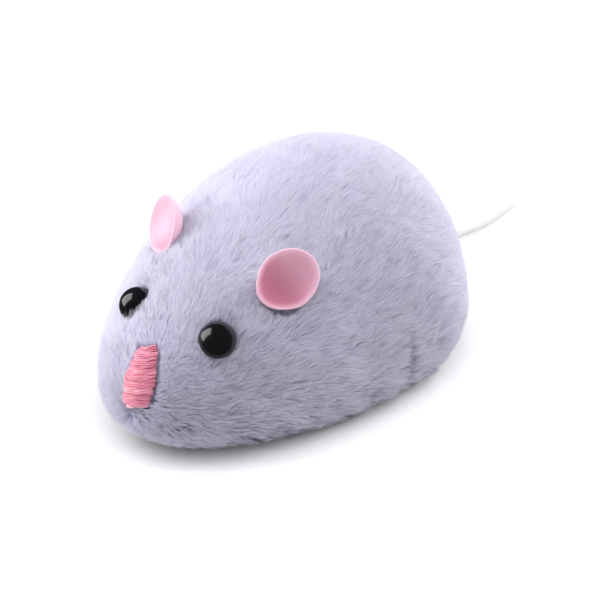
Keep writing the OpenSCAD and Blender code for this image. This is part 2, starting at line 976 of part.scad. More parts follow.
// Rubber tyre with tread grooves
module tyre(side) {
  grooves = 24;
  color("dimgray")
    mirror([side < 0 ? 1 : 0, 0, 0])
      difference() {
        bar_x(axle_at, wheel_d / 2, wheel_x, wheel_x + tyre_w);
        bar_x(axle_at, rim_r, wheel_x - 1, wheel_x + tyre_w + 1);
        for (i = [0:grooves - 1])
          along_x(wheel_x - 1, wheel_x + tyre_w + 1)
            translate(axle_at)
              rotate((i + 0.5) * 360 / grooves)
                translate([wheel_d / 2, 0])
                  square([0.8, 0.7], center = true);
      }
}

module tyre_left() {
  tyre(1);
}

module tyre_right() {
  tyre(-1);
}

module tail_roller() {
  color("white")
    difference() {
      bar_x(roller_at, roller_d / 2, -roller_w / 2, roller_w / 2);
      bar_x(roller_at, roller_pin_r + run_gap, -roller_w, roller_w);
      for (side = [-1, 1])
        bar_x(roller_at, roller_d / 2 - 1, side * roller_w / 2 - 0.6, side * roller_w / 2 + 0.6);
    }
}

module roller_pin() {
  color("silver")
    bar_x(roller_at, roller_pin_r, -roller_w / 2 - fork_gap - fork_t, roller_w / 2 + fork_gap + fork_t);
}

// ---------- fasteners ----------

// Cross-head screw driven upwards; its head bears on the chassis at z
module screw_up(at, z, length) {
  translate([at[0], at[1], z])
    difference() {
      union() {
        cylinder(h = length, r = screw_r);
        translate([0, 0, -screw_head_t])
          cylinder(h = screw_head_t, r = screw_head_r);
      }
      for (turn = [0, 90])
        rotate(turn)
          translate([-1.3, -0.25, -screw_head_t - 0.1])
            cube([2.6, 0.5, 0.8]);
    }
}

module chassis_screws() {
  color("silver")
    for (y = [post_front_y, post_rear_y], side = [-1, 1])
      screw_up([side * post_x(y), y], chassis_z, screw_len);
}

module motor_screws() {
  color("silver")
    for (at = motor_feet)
      screw_up(at, chassis_z, screw_len);
}

// Cross-head screws through the motor case's cover
module case_screws() {
  head_x = case_x1 + cover_t;
  color("silver")
    for (at = case_bosses)
      difference() {
        union() {
          bar_x(at, case_screw_r, case_x1 - 5, head_x);
          bar_x(at, case_boss_r, head_x, head_x + 0.9);
        }
        for (turn = [0, 90])
          along_x(head_x + 0.4, head_x + 2)
            translate(at)
              rotate(turn)
                square([2, 0.4], center = true);
      }
}

plush_skin();
body_shell();
chassis();
nose_embroidery();
eye_left();
eye_right();
eye_washer_left();
eye_washer_right();
ear_left();
ear_right();
tail();
motor_case_right();
motor_case_left();
mainspring();
idler_pin();
idler_gear();
great_gear();
click_spring();
arbor();
ratchet_wheel();
winding_knob();
drive_axle();
axle_pinion();
wheel_left();
wheel_right();
tyre_left();
tyre_right();
tail_roller();
roller_pin();
chassis_screws();
motor_screws();
case_screws();
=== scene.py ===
"""Looks of the clockwork toy mouse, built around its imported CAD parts.

Lengths are in millimetres up to the point where a mesh is made; the meshes are in metres.
The nose points to -Y, the mouse's left side is +X and the floor is z = 0.
"""

import json
import math

import bpy
import numpy as np
from mathutils import Matrix, Vector
from mathutils.kdtree import KDTree


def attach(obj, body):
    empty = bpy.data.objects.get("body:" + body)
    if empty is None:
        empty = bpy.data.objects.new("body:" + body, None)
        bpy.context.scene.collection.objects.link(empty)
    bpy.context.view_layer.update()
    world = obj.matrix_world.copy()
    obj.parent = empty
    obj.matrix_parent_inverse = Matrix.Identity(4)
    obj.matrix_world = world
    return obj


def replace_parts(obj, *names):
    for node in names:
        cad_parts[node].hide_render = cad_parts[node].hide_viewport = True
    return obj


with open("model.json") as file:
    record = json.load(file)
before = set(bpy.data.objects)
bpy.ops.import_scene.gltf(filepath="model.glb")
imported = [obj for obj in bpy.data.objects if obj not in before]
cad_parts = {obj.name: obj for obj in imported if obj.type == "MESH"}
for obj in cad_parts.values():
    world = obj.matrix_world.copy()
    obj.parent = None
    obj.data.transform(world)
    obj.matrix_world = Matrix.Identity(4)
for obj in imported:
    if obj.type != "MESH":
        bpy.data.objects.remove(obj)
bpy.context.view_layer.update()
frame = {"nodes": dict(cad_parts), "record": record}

MM = 0.001
rng = np.random.default_rng(20)

# ---------- the body dome, as in the CAD ----------

BODY_LEN = 95.0
BODY_W = 70.0
BODY_H = 45.5
NOSE_REACH = 60.5
GIRTH_Z = 9.5
GIRTH_Y = NOSE_REACH - BODY_LEN / 2
HEM_TUCK = 0.28
CROWN_SHIFT = 0.5
NOSE_ROUND = 1.8
RUMP_ROUND = 1.9
NOSE_FULL = 1.75
FLANK_FULL = 1.93
RUMP_FULL = 2.4
HEM_Z = 1.0


def signed_pow(v, p):
    """Power of the size of v, with the sign of v."""
    return np.sign(v) * np.abs(v) ** p


def smooth(low, high, v):
    """0 below low, 1 above high, with a smooth step between."""
    t = np.clip((v - low) / (high - low), 0, 1)
    return t * t * (3 - 2 * t)


def unit(v):
    """The vectors in v at length 1."""
    v = np.asarray(v, float)
    return v / np.maximum(np.linalg.norm(v, axis=-1, keepdims=True), 1e-9)


def plan(a, inset, k):
    """Plan outline at angle a, inset, and scaled by k about the girth's centre."""
    back = np.sin(a) >= 0
    power = 2 / np.where(back, RUMP_ROUND, NOSE_ROUND)
    reach = np.where(back, BODY_LEN - NOSE_REACH, NOSE_REACH) - inset
    x = (BODY_W / 2 - inset) * signed_pow(np.cos(a), power) * k
    y = GIRTH_Y + reach * signed_pow(np.sin(a), power) * k
    return x, y


def rise_power(a):
    """Power of the dome's upright section at plan angle a."""
    ends = np.where(np.sin(a) < 0, NOSE_FULL, RUMP_FULL)
    return 2 / (FLANK_FULL + (ends - FLANK_FULL) * np.sin(a) ** 2)


def dome(a, rise, inset):
    """Point on the dome: rise is -1 at the hem, 0 at the girth and 1 at the crown."""
    power = rise_power(a)
    up = np.clip(rise, 0, 1) * math.pi / 2
    lift = np.sin(up) ** power
    low_z = GIRTH_Z + (GIRTH_Z - HEM_Z) * np.clip(rise, -1, 0)
    low_k = 1 - HEM_TUCK * ((GIRTH_Z - low_z) / GIRTH_Z) ** 2
    high_k = np.maximum(np.cos(up), 0) ** power
    x, y = plan(a, inset, np.where(rise < 0, low_k, high_k))
    z = np.where(rise < 0, low_z, GIRTH_Z + (BODY_H - inset - GIRTH_Z) * lift)
    return np.stack([x, y + CROWN_SHIFT * lift, z], -1)


def face_point(x, z, inset):
    """Point on the front of the dome for a place across and a height."""
    x, z = np.broadcast_arrays(np.asarray(x, float), np.asarray(z, float))
    a = np.full(x.shape, -math.pi / 2)
    lift = np.clip((z - GIRTH_Z) / (BODY_H - inset - GIRTH_Z), 0, 1)
    for _ in range(8):
        power = rise_power(a)
        k = np.cos(np.arcsin(lift ** (1 / power))) ** power
        c = np.clip(np.abs(x) / ((BODY_W / 2 - inset) * k), 0, 1) ** (NOSE_ROUND / 2)
        a = -np.arccos(c)
    y = GIRTH_Y - (NOSE_REACH - inset) * np.abs(np.sin(a)) ** (2 / NOSE_ROUND) * k
    return np.stack([x, y + CROWN_SHIFT * lift, z], -1)


# ---------- places of the face features, as in the CAD ----------


def dome_normal(a, rise):
    """Direction out of the dome's surface at a plan angle and a rise."""
    step = 1e-4
    here, turned, higher = (
        dome(np.array(a + da), np.array(rise + dr), 0.0)
        for da, dr in ((0, 0), (step, 0), (0, step))
    )
    return unit(np.cross(turned - here, higher - here))


def mirrored(v, side):
    """Points or directions given for the mouse's left, moved to side: 1 left, -1 right."""
    return np.asarray(v, float) * [side, 1, 1]


SIDES = (1, -1)
EYE_R = 3.9
# plan angle, rise on the dome and depth of each eye: 1 is the left one, -1 the right one
EYE_SEAT = {
    1: (math.radians(-64.6), 0.332, 1.0),
    -1: (math.radians(-66.6), 0.34, 1.8),
}
EYE_BASE_DEEP = 4.2
EYE_AT = {
    side: mirrored(dome(np.array(a), np.array(rise), deep), side)
    for side, (a, rise, deep) in EYE_SEAT.items()
}
EYE_OUT = {
    side: mirrored(dome_normal(a, rise), side) for side, (a, rise, _) in EYE_SEAT.items()
}

EAR_R = 6.6
EAR_CUP_R = 7.8
# thickness of the cup's wall in its middle and at its rim
EAR_T = 1.9
EAR_RIM_T = 0.6


class EarSeat:
    """Place and directions of one ear, given as if it were on the mouse's left."""

    def __init__(self, rim_at, opening, along, turn, rise):
        self.open = unit(opening)
        self.along = unit(along)
        self.across = np.cross(self.along, self.open)
        self.rim_at = np.array(rim_at)
        self.middle = self.rim_at + self.open * math.sqrt(EAR_CUP_R**2 - EAR_R**2)
        self.at = self.middle - self.open * EAR_CUP_R
        self.out = dome_normal(math.radians(turn), rise)


EAR_SEAT = {
    1: EarSeat([17.1, -16.7, 34.7], [0.658, -0.589, 0.469], [0.364, 0.794, 0.487], -52.6, 0.456),
    -1: EarSeat([15.5, -17.0, 36.0], [0.496, -0.774, 0.394], [0.734, 0.616, 0.286], -58.9, 0.509),
}
EAR_RIM_Z = EAR_CUP_R - math.sqrt(EAR_CUP_R**2 - EAR_R**2)
STEM_TURN = math.radians(40)
STEM_SINK = 0.4
STEM_R = 1.4
STEM_LEN = 3.0

NOSE_FOOT = 12.8
NOSE_H = 10.6
NOSE_FOOT_W = 5.8
NOSE_W = 7.2
NOSE_TOP_W = 4.4
NOSE_WIDE_SHARE = 0.45
# the nose leans: places across of its foot and its top
NOSE_FOOT_X = 1.4
NOSE_TOP_X = -0.3
# rise of each row of thread from the nose's middle to its left side
ROW_SLANT = 0.6
NOSE_MID = face_point(0.4, NOSE_FOOT + 0.5 * NOSE_H, 0)
KNOB_YZ = (16.0, 14.5)
TAIL_EXIT_Z = 7.4
TAIL_ROUTE = np.array([
    [0, 38.2, 7.6],
    [0, 41, 7.4],
    [0, 44.5, 6.7],
    [0, 48, 5.7],
    [0, 52, 4.5],
    [0.1, 56, 3.5],
    [0.25, 60, 2.7],
    [0.6, 64, 2.1],
    [1.15, 68.5, 1.6],
    [1.95, 72.5, 1.35],
    [2.35, 76, 1.2],
    [2.45, 79.5, 1.1],
    [2.35, 83, 1.0],
    [2.1, 87, 0.9],
])
TAIL_D = 2.8
TAIL_TIP_D = 1.2


def nose_half_width(up):
    """Half width of the stitched nose at a share of its height."""
    shares, widths = (0, NOSE_WIDE_SHARE, 1), (NOSE_FOOT_W, NOSE_W, NOSE_TOP_W)
    return np.interp(up, shares, widths) / 2


def nose_middle(up):
    """Place across of the stitched nose's middle at a share of its height."""
    return NOSE_FOOT_X + (NOSE_TOP_X - NOSE_FOOT_X) * np.clip(up, 0, 1)


# ---------- mesh helpers ----------


def in_scene(name, data):
    """A new object in the scene, from a mesh, lamp or camera."""
    obj = bpy.data.objects.new(name, data)
    bpy.context.scene.collection.objects.link(obj)
    return obj


def make_object(name, points, faces, material):
    """A smooth mesh piece on the root body, from points in millimetres and arrays of faces."""
    mesh = bpy.data.meshes.new(name)
    points = np.asarray(points, np.float32) * MM
    groups = [np.asarray(f, np.int32) for f in faces if len(f)]
    total = sum(g.size for g in groups)
    count = sum(len(g) for g in groups)
    mesh.vertices.add(len(points))
    mesh.vertices.foreach_set("co", points.ravel())
    mesh.loops.add(total)
    mesh.loops.foreach_set("vertex_index", np.concatenate([g.ravel() for g in groups]))
    sizes = np.concatenate([np.full(len(g), g.shape[1]) for g in groups])
    mesh.polygons.add(count)
    mesh.polygons.foreach_set("loop_start", np.concatenate([[0], np.cumsum(sizes)[:-1]]))
    mesh.polygons.foreach_set("use_smooth", np.ones(count, bool))
    mesh.update(calc_edges=True)
    obj = in_scene(name, mesh)
    mesh.materials.append(material)
    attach(obj, "root")
    return obj


def add_values(obj, name, values):
    """One number for each point of a piece, for its material to read."""
    layer = obj.data.attributes.new(name, "FLOAT", "POINT")
    layer.data.foreach_set("value", values.astype(np.float32))


def ring_quads(rings, sides, first=0):
    """Quads between successive rings of points."""
    i = np.arange(rings - 1)[:, None] * sides + first
    c = np.arange(sides)[None, :]
    d = (c + 1) % sides
    return np.stack([i + c, i + d, i + sides + d, i + sides + c], -1).reshape(-1, 4)


def fan(ring_start, sides, tip, flip=False):
    """Triangles from a ring of points to one point."""
    c = np.arange(sides)
    d = (c + 1) % sides
    tri = np.stack([ring_start + c, ring_start + d, np.full(sides, tip)], -1)
    return tri[:, ::-1] if flip else tri


def lathe(profile, sides):
    """Points and faces of a profile of (radius, height) turned about Z; radius 0 ends close."""
    profile = np.asarray(profile, float)
    body = profile[1:-1]
    t = np.arange(sides) * 2 * math.pi / sides
    ring = np.stack([np.cos(t), np.sin(t)], -1)
    points = [np.concatenate([r * ring, np.full((sides, 1), h)], 1) for r, h in body]
    points = np.concatenate(points + [[[0, 0, profile[0, 1]], [0, 0, profile[-1, 1]]]])
    rings = len(body)
    bottom = len(points) - 2
    quads = ring_quads(rings, sides)
    tris = np.concatenate(
        [fan(0, sides, bottom, True), fan((rings - 1) * sides, sides, bottom + 1)]
    )
    return points, [quads, tris]


def aimed(points, at, out):
    """Turns points drawn with +Z outward to the direction out, and moves them."""
    turn = np.array(Vector((0, 0, 1)).rotation_difference(Vector(out)).to_matrix())
    return points @ turn.T + at


# ---------- materials ----------


def new_material(name, **sockets):
    """A material with one Principled shader; sockets are set by name."""
    material = bpy.data.materials.new(name)
    material.use_nodes = True
    shader = material.node_tree.nodes["Principled BSDF"]
    for key, value in sockets.items():
        shader.inputs[key.replace("_", " ")].default_value = value
    return material, material.node_tree, shader


def add(tree, kind, **settings):
    """A new node, with its settings and inputs set by name."""
    node = tree.nodes.new(kind)
    for key, value in settings.items():
        if hasattr(node, key):
            setattr(node, key, value)
        else:
            node.inputs[key.replace("_", " ")].default_value = value
    return node


def ramp(tree, factor, stops):
    """A colour ramp over (place, colour) stops."""
    stops = list(stops)
    node = tree.nodes.new("ShaderNodeValToRGB")
    elements = node.color_ramp.elements
    while len(elements) > 1:
        elements.remove(elements[-1])
    elements[0].position, elements[0].color = stops[0][0], (*stops[0][1], 1)
    for place, color in stops[1:]:
        elements.new(place).color = (*color, 1)
    tree.links.new(factor, node.inputs["Fac"])
    return node.outputs["Color"]


CLOUD_SCALE = 90.0
CLOUD_STOPS = (0.3, 0.7)
COLOR_SPREAD = 0.05
GLOSS_SPREAD = (-0.06, 0.08)
GRAIN_STRENGTH = 0.35


def moulded(name, color, rough=0.4, grain=4000.0, depth=0.02, **more):
    """Moulded plastic, rubber or metal: slightly uneven colour and gloss over a fine grain."""
    material, tree, shader = new_material(name, **more)
    link = tree.links.new
    coords = add(tree, "ShaderNodeTexCoord").outputs["Object"]
    broad = add(tree, "ShaderNodeTexNoise", Scale=CLOUD_SCALE, Detail=3.0)
    fine = add(tree, "ShaderNodeTexNoise", Scale=grain, Detail=2.0)
    for node in (broad, fine):
        link(coords, node.inputs["Vector"])
    low = tuple(c * (1 - COLOR_SPREAD) for c in color)
    high = tuple(min(c * (1 + COLOR_SPREAD), 1) for c in color)
    uneven = ramp(tree, broad.outputs["Fac"], zip(CLOUD_STOPS, (low, high)))
    link(uneven, shader.inputs["Base Color"])
    gloss = add(tree, "ShaderNodeMapRange")
    gloss.inputs["To Min"].default_value = rough + GLOSS_SPREAD[0]
    gloss.inputs["To Max"].default_value = rough + GLOSS_SPREAD[1]
    link(broad.outputs["Fac"], gloss.inputs["Value"])
    link(gloss.outputs["Result"], shader.inputs["Roughness"])
    bump = add(tree, "ShaderNodeBump", Strength=GRAIN_STRENGTH, Distance=depth * MM)
    link(fine.outputs["Fac"], bump.inputs["Height"])
    link(bump.outputs["Normal"], shader.inputs["Normal"])
    return material


# colour of the fibres from root to tip: their own pale lavender, darkened towards the root as
# painted shade deep in the pile
PILE_STOPS_WITH_ROOT_SHADE = [
    (0.0, (0.60, 0.57, 0.75)),
    (0.4, (0.76, 0.74, 0.885)),
    (0.8, (0.87, 0.86, 0.95)),
    (1.0, (0.905, 0.895, 0.97)),
]
SHADE_STOPS = [(0.0, (0.84, 0.84, 0.87)), (1.0, (1.0, 1.0, 1.0))]
NAP_WEIGHT = 2.0
THROUGH_SHARE = 0.5
SHADOW_PASS = 0.66


def pile_material():
    """Fibres of the plush: darker at the root, as painted shade deep in the pile, and pale at the
    tip; lit mostly as a soft nap.
    """
    material, tree, shader = new_material(
        "plush_pile", Roughness=0.85, Specular_IOR_Level=0.08
    )
    link = tree.links.new
    uv = add(tree, "ShaderNodeUVMap", uv_map="OFBake")
    parts = add(tree, "ShaderNodeSeparateXYZ")
    link(uv.outputs["UV"], parts.inputs["Vector"])
    # painted shade: the colour darkens towards the root of each fibre
    along = ramp(tree, parts.outputs["Y"], PILE_STOPS_WITH_ROOT_SHADE)
    shade = ramp(tree, parts.outputs["X"], SHADE_STOPS)
    mix = add(tree, "ShaderNodeMix", data_type="RGBA", blend_type="MULTIPLY")
    mix.inputs["Factor"].default_value = 1.0
    link(along, mix.inputs["A"])
    link(shade, mix.inputs["B"])
    link(mix.outputs["Result"], shader.inputs["Base Color"])
    # the light falls mostly on the lie of the whole nap, and a little on each fibre
    nap = add(tree, "ShaderNodeAttribute", attribute_name="nap")
    turned = add(tree, "ShaderNodeVectorTransform", vector_type="NORMAL")
    turned.convert_from, turned.convert_to = "OBJECT", "WORLD"
    link(nap.outputs["Vector"], turned.inputs["Vector"])
    scaled = add(tree, "ShaderNodeVectorMath", operation="SCALE")
    scaled.inputs["Scale"].default_value = NAP_WEIGHT
    link(turned.outputs["Vector"], scaled.inputs["Vector"])
    own = add(tree, "ShaderNodeNewGeometry")
    total = add(tree, "ShaderNodeVectorMath", operation="ADD")
    link(scaled.outputs["Vector"], total.inputs[0])
    link(own.outputs["Normal"], total.inputs[1])
    level = add(tree, "ShaderNodeVectorMath", operation="NORMALIZE")
    link(total.outputs["Vector"], level.inputs[0])
    link(level.outputs["Vector"], shader.inputs["Normal"])
    # each fibre glows with the light behind it as well
    through = add(tree, "ShaderNodeBsdfTranslucent")
    link(mix.outputs["Result"], through.inputs["Color"])
    blend = add(tree, "ShaderNodeMixShader")
    blend.inputs["Fac"].default_value = THROUGH_SHARE
    link(shader.outputs["BSDF"], blend.inputs[1])
    link(through.outputs["BSDF"], blend.inputs[2])
    # thin fibres pass on part of the light that falls on them
    clear = add(tree, "ShaderNodeBsdfTransparent")
    thin = add(tree, "ShaderNodeMixShader")
    thin.inputs["Fac"].default_value = SHADOW_PASS
    link(blend.outputs["Shader"], thin.inputs[1])
    link(clear.outputs["BSDF"], thin.inputs[2])
    path = add(tree, "ShaderNodeLightPath")
    veil = add(tree, "ShaderNodeMixShader")
    link(path.outputs["Is Shadow Ray"], veil.inputs["Fac"])
    link(blend.outputs["Shader"], veil.inputs[1])
    link(thin.outputs["Shader"], veil.inputs[2])
    output = tree.nodes["Material Output"]
    link(veil.outputs["Shader"], output.inputs["Surface"])
    return material


# ---------- plush: the backing cloth ----------

# depth of the pile on the body and at the nose, and how far from the nose it deepens
PILE = 4.2
NOSE_PILE = 1.4
NOSE_PILE_REACH = (4.5, 22)
CLOTH_T = 0.6
CLOTH_COLS = 288
CLOTH_LOW_ROWS = 12
CLOTH_HIGH_ROWS = 90


def pile_depth(outer):
    """How deep the pile stands at a point of the fur's surface: short round the nose."""
    d = np.linalg.norm(outer - NOSE_MID, axis=-1)
    return NOSE_PILE + (PILE - NOSE_PILE) * smooth(*NOSE_PILE_REACH, d)


def cloth_surface(extra):
    """Grid of points on the cloth's outside or extra inside it, and the number of rings."""
    low = np.linspace(-1, 0, CLOTH_LOW_ROWS)[:-1]
    rises = np.concatenate([low, np.linspace(0, 1, CLOTH_HIGH_ROWS)[:-1]])
    a, r = np.meshgrid(np.arange(CLOTH_COLS) * 2 * math.pi / CLOTH_COLS, rises)
    outer = dome(a, r, 0.0)
    inset = pile_depth(outer) + extra
    points = dome(a, r, inset).reshape(-1, 3)
    crown = dome(np.array([math.pi / 2]), np.array([1.0]), PILE + extra)
    return np.concatenate([points, crown]), len(rises)


def cloth_faces(rings):
    """Quads of the cloth's rings and triangles of its crown."""
    crown = fan((rings - 1) * CLOTH_COLS, CLOTH_COLS, rings * CLOTH_COLS)
    return ring_quads(rings, CLOTH_COLS), crown


def vertex_normals(points, tris):
    """Directions out of a mesh at its points, from the triangles round each."""
    a, b, c = (points[tris[:, i]] for i in range(3))
    face = np.cross(b - a, c - a)
    normals = np.zeros_like(points)
    for i in range(3):
        np.add.at(normals, tris[:, i], face)
    return unit(normals)


def make_backing():
    """Backing cloth of the plush: a thin shell, open at the hem."""
    outside, rings = cloth_surface(0.0)
    inside, _ = cloth_surface(CLOTH_T)
    quads, top = cloth_faces(rings)
    count = len(outside)
    c = np.arange(CLOTH_COLS)
    d = (c + 1) % CLOTH_COLS
    hem = np.stack([d, c, count + c, count + d], -1)
    return make_object(
        "plush_backing",
        np.concatenate([outside, inside]),
        [quads, (quads + count)[:, ::-1], hem, top, (top + count)[:, ::-1]],
        CLOTH,
    )


# ---------- plush: the pile ----------

STRANDS = 310000
# places along a fibre, and its width at each but the tip
STATIONS = np.array([0.0, 0.35, 0.65, 0.86, 1.0])
WIDTHS = np.array([1.0, 1.0, 0.9, 0.6])
FIBRE_W = 0.1
FIBRE_W_SPREAD = (0.75, 1.25)
FIBRE_ROLL = 0.4

# the fibres stand closer together round the nose
NOSE_EXTRA = 1.6
NOSE_EXTRA_R = 16

# length and stance of the fibres
BODY_LENGTH = 5.0
NOSE_LENGTH = 2.3
NOSE_LENGTH_REACH = (3, 22)
LENGTH_SPREAD = (0.88, 1.12)
HEIGHT_SPREAD = (0.80, 1.02)
FLATTEST, STEEPEST = 0.05, 0.9
TIP_ANGLE = math.radians(22)
START_ANGLES = np.radians(np.linspace(8, 118, 200))
SIDE_BEND = 0.07
# radius of the body under the fibres, at the nose and beyond
NOSE_CURVE_R = 12
BODY_CURVE_MORE = 30
CURVE_REACH = (5, 35)

# the way the pile lies: from a parting at the foot of the nose, up and back on the body
PARTING = face_point(0, 10.5, 0)
PARTING_REACH = 30.0
PARTING_WEIGHT = 1.8
SWEEP_OUT = 0.25
SWEEP_RISE = 0.65
SWEEP_FALL = 0.85
SWEEP_FALL_Y = (-8, 36)
HEM_FALL = 0.3
HEM_FALL_Z = (5, 1.5)
EYE_SWIRL = 0.4
EYE_SWIRL_REACH = 1.5
# slow and quick wandering of the way: degrees, wavelength and seed
WANDER = ((18, 16, 5), (16, 5, 6))

# the pile round the eyes and the ears
EYE_FUR_REACH = 3.0
EYE_FUR_LENGTH = 0.85
EYE_FUR_HEIGHT = 0.90
# extra height of the pile on the inner side of each eye
BROW = {1: 0.1, -1: 1.1}
BROW_WAY = unit([-0.75, 0.62, 0.25])
EAR_FUR = 0.6
EAR_FUR_REACH = (8.0, 4.0)

# short upright fold low on the left flank, where the cloth is gathered
FOLD_AT = np.array([30.5, 3.2, 10.5])
FOLD_ACROSS = unit([-0.14, 0.98, -0.12])
FOLD_W = 1.1
FOLD_H = 5.0
FOLD_DEEP = 0.6

# longer fibres that hang over the hem
TUFT_Z = (7, 2)
TUFT_SHARE = 0.4
TUFT_LONGER = 0.7
TUFT_HIGHER = 0.3

# small unevenness of the pile's height: share, wavelength and seed
UNEVEN = ((0.05, 8, 7), (0.04, 2.5, 8))

# fibres in locks: share of guides, pull, power along the fibre, extra pull at the hem
LOCKS = (0.08, (0.0, 0.35), 1.4, 0.3)
BIG_LOCKS = (0.012, (0.0, 0.2), 1.2, 0.6)
LOCK_HEM_Z = (9, 3)

# shades of the fibres and their locks, and unevenness of the nap's lie
SHADES = 16
MEAN_SHADE = 9
LOCK_SHADE_SPREAD = 2.2
SHADE_SPREAD = 2.5
NAP_UNEVEN = 0.13
NAP_WAVELENGTH = 17
NAP_SEEDS = (21, 22, 23)

# bare places and clearances
NOSE_BARE = (0.04, 0.9)
NOSE_EDGE = 0.3
NOSE_FRONT_Y = -30
EYE_EDGE = 0.6
EYE_POST_REACH = 6
EAR_EDGE = 0.7
KNOB_BARE_R = 3.3
KNOB_SIDE_X = -15
TAIL_BARE_R = 1.9
RUMP_Y = 30
EYE_GAP = 0.12
FLOOR_GAP = (0.18, 0.25)
EAR_GAP = 0.15
EAR_NEAR = 16
SHORTER = 0.62
# an ear's wall is taken as twice this thick; its hollow ends just above the rim
EAR_WALL_HALF = 0.5
MOUTH_ABOVE = 0.3
MOUTH_DROP = 1.2
MOUTH_FOOT = (-3.0, -5.0)

WAVE_COUNT = 7
WAVE_SPREAD = (0.6, 1.6)
WAVE_SIZE = 2.6


def waves(points, wavelength, seed):
    """Smooth noise between about -1 and 1 at points, from a few random plane waves."""
    local = np.random.default_rng(seed)
    total = np.zeros(len(points))
    for _ in range(WAVE_COUNT):
        way = unit(local.normal(size=3))
        way = way * 2 * math.pi / (wavelength * local.uniform(*WAVE_SPREAD))
        total += np.sin(points @ way + local.uniform(0, 2 * math.pi))
    return total / WAVE_SIZE


def sample_roots(count):
    """Random points on the cloth, with normals, in proportion to area and density."""
    points, rings = cloth_surface(0.0)
    quads, top = cloth_faces(rings)
    tris = np.concatenate([quads[:, [0, 1, 2]], quads[:, [0, 2, 3]], top])
    normals = vertex_normals(points, tris)
    a, b, c = (points[tris[:, i]] for i in range(3))
    area = np.linalg.norm(np.cross(b - a, c - a), axis=1) / 2
    near = np.linalg.norm((a + b + c) / 3 - NOSE_MID, axis=1)
    chance = area * (1 + NOSE_EXTRA * np.exp(-near / NOSE_EXTRA_R))
    pick = rng.choice(len(tris), size=count, p=chance / chance.sum())
    u, v = rng.random(count), rng.random(count)
    over = u + v > 1
    u[over], v[over] = 1 - u[over], 1 - v[over]
    w = np.stack([1 - u - v, u, v], -1)[..., None]
    roots = (points[tris[pick]] * w).sum(1)
    return roots, unit((normals[tris[pick]] * w).sum(1))


def sweep(points, normals):
    """Direction in which the pile lies: away from the nose on the face, back on the body."""
    rise = SWEEP_RISE - SWEEP_FALL * smooth(*SWEEP_FALL_Y, points[:, 1])
    rise = rise - HEM_FALL * smooth(*HEM_FALL_Z, points[:, 2])
    back = np.stack([SWEEP_OUT * normals[:, 0], np.ones(len(points)), rise], -1)
    away = unit(points - PARTING)
    near = np.exp(-np.linalg.norm(points - PARTING, axis=1) / PARTING_REACH)[:, None]
    way = unit(back) * (1 - near) + away * near * PARTING_WEIGHT
    for side in SIDES:
        off = points - EYE_AT[side]
        d = np.linalg.norm(off, axis=1)[:, None]
        way = way + EYE_SWIRL * unit(off) * np.exp(-((d - EYE_R) / EYE_SWIRL_REACH) ** 2)
    way = way - normals * (way * normals).sum(1, keepdims=True)
    way = unit(way)
    turn = np.radians(sum(size * waves(points, *wave) for size, *wave in WANDER))
    across = np.cross(normals, way)
    return way * np.cos(turn)[:, None] + across * np.sin(turn)[:, None]


def start_angle(ratio, end):
    """Angle at which a fibre of length 1 has to leave the cloth to reach a height of ratio."""
    reached = (math.cos(end) - np.cos(START_ANGLES)) / (START_ANGLES - end)
    return np.interp(ratio, reached, START_ANGLES)


def allowed(roots):
    """False for roots under the nose, the eyes, the ears, the knob and the tail."""
    x, y, z = roots.T
    up = (z - NOSE_FOOT) / NOSE_H
    off_nose = x - nose_middle(up)
    up = up - ROW_SLANT * off_nose / (nose_half_width(up) * NOSE_H)
    bare = (up > NOSE_BARE[0]) & (up < NOSE_BARE[1]) & (y < NOSE_FRONT_Y)
    bare &= np.abs(off_nose) < nose_half_width(up) - NOSE_EDGE
    for side in SIDES:
        off = roots - EYE_AT[side]
        along = off @ EYE_OUT[side]
        across = np.linalg.norm(off - along[:, None] * EYE_OUT[side], axis=1)
        bare |= (across < EYE_R - EYE_EDGE) & (np.abs(along) < EYE_POST_REACH)
        bare |= ear_clearance(roots, side) <= EAR_EDGE
    bare |= (np.hypot(y - KNOB_YZ[0], z - KNOB_YZ[1]) < KNOB_BARE_R) & (x < KNOB_SIDE_X)
    bare |= (np.hypot(x, z - TAIL_EXIT_Z) < TAIL_BARE_R) & (y > RUMP_Y)
    return ~bare


def ear_clearance(points, side):
    """Distance to the wall of an ear's cup in millimetres; negative in the cup's hollow."""
    seat = EAR_SEAT[side]
    local = mirrored(points, side) - seat.at
    x, y, z = local @ seat.across, local @ seat.along, local @ seat.open
    rho = np.minimum(np.hypot(x, y), EAR_R)
    wall = EAR_CUP_R - np.sqrt(EAR_CUP_R**2 - rho**2)
    beyond = np.maximum(np.hypot(x, y) - EAR_R, 0)
    off_wall = np.abs(z - wall - EAR_WALL_HALF) - EAR_WALL_HALF
    off = np.hypot(np.maximum(off_wall, 0), beyond)
    # fibres may hang over the lip at the foot of the ear
    mouth = EAR_RIM_Z + MOUTH_ABOVE - MOUTH_DROP * smooth(*MOUTH_FOOT, y)
    return np.where((beyond <= 0) & (z > wall) & (z < mouth), -1.0, off)


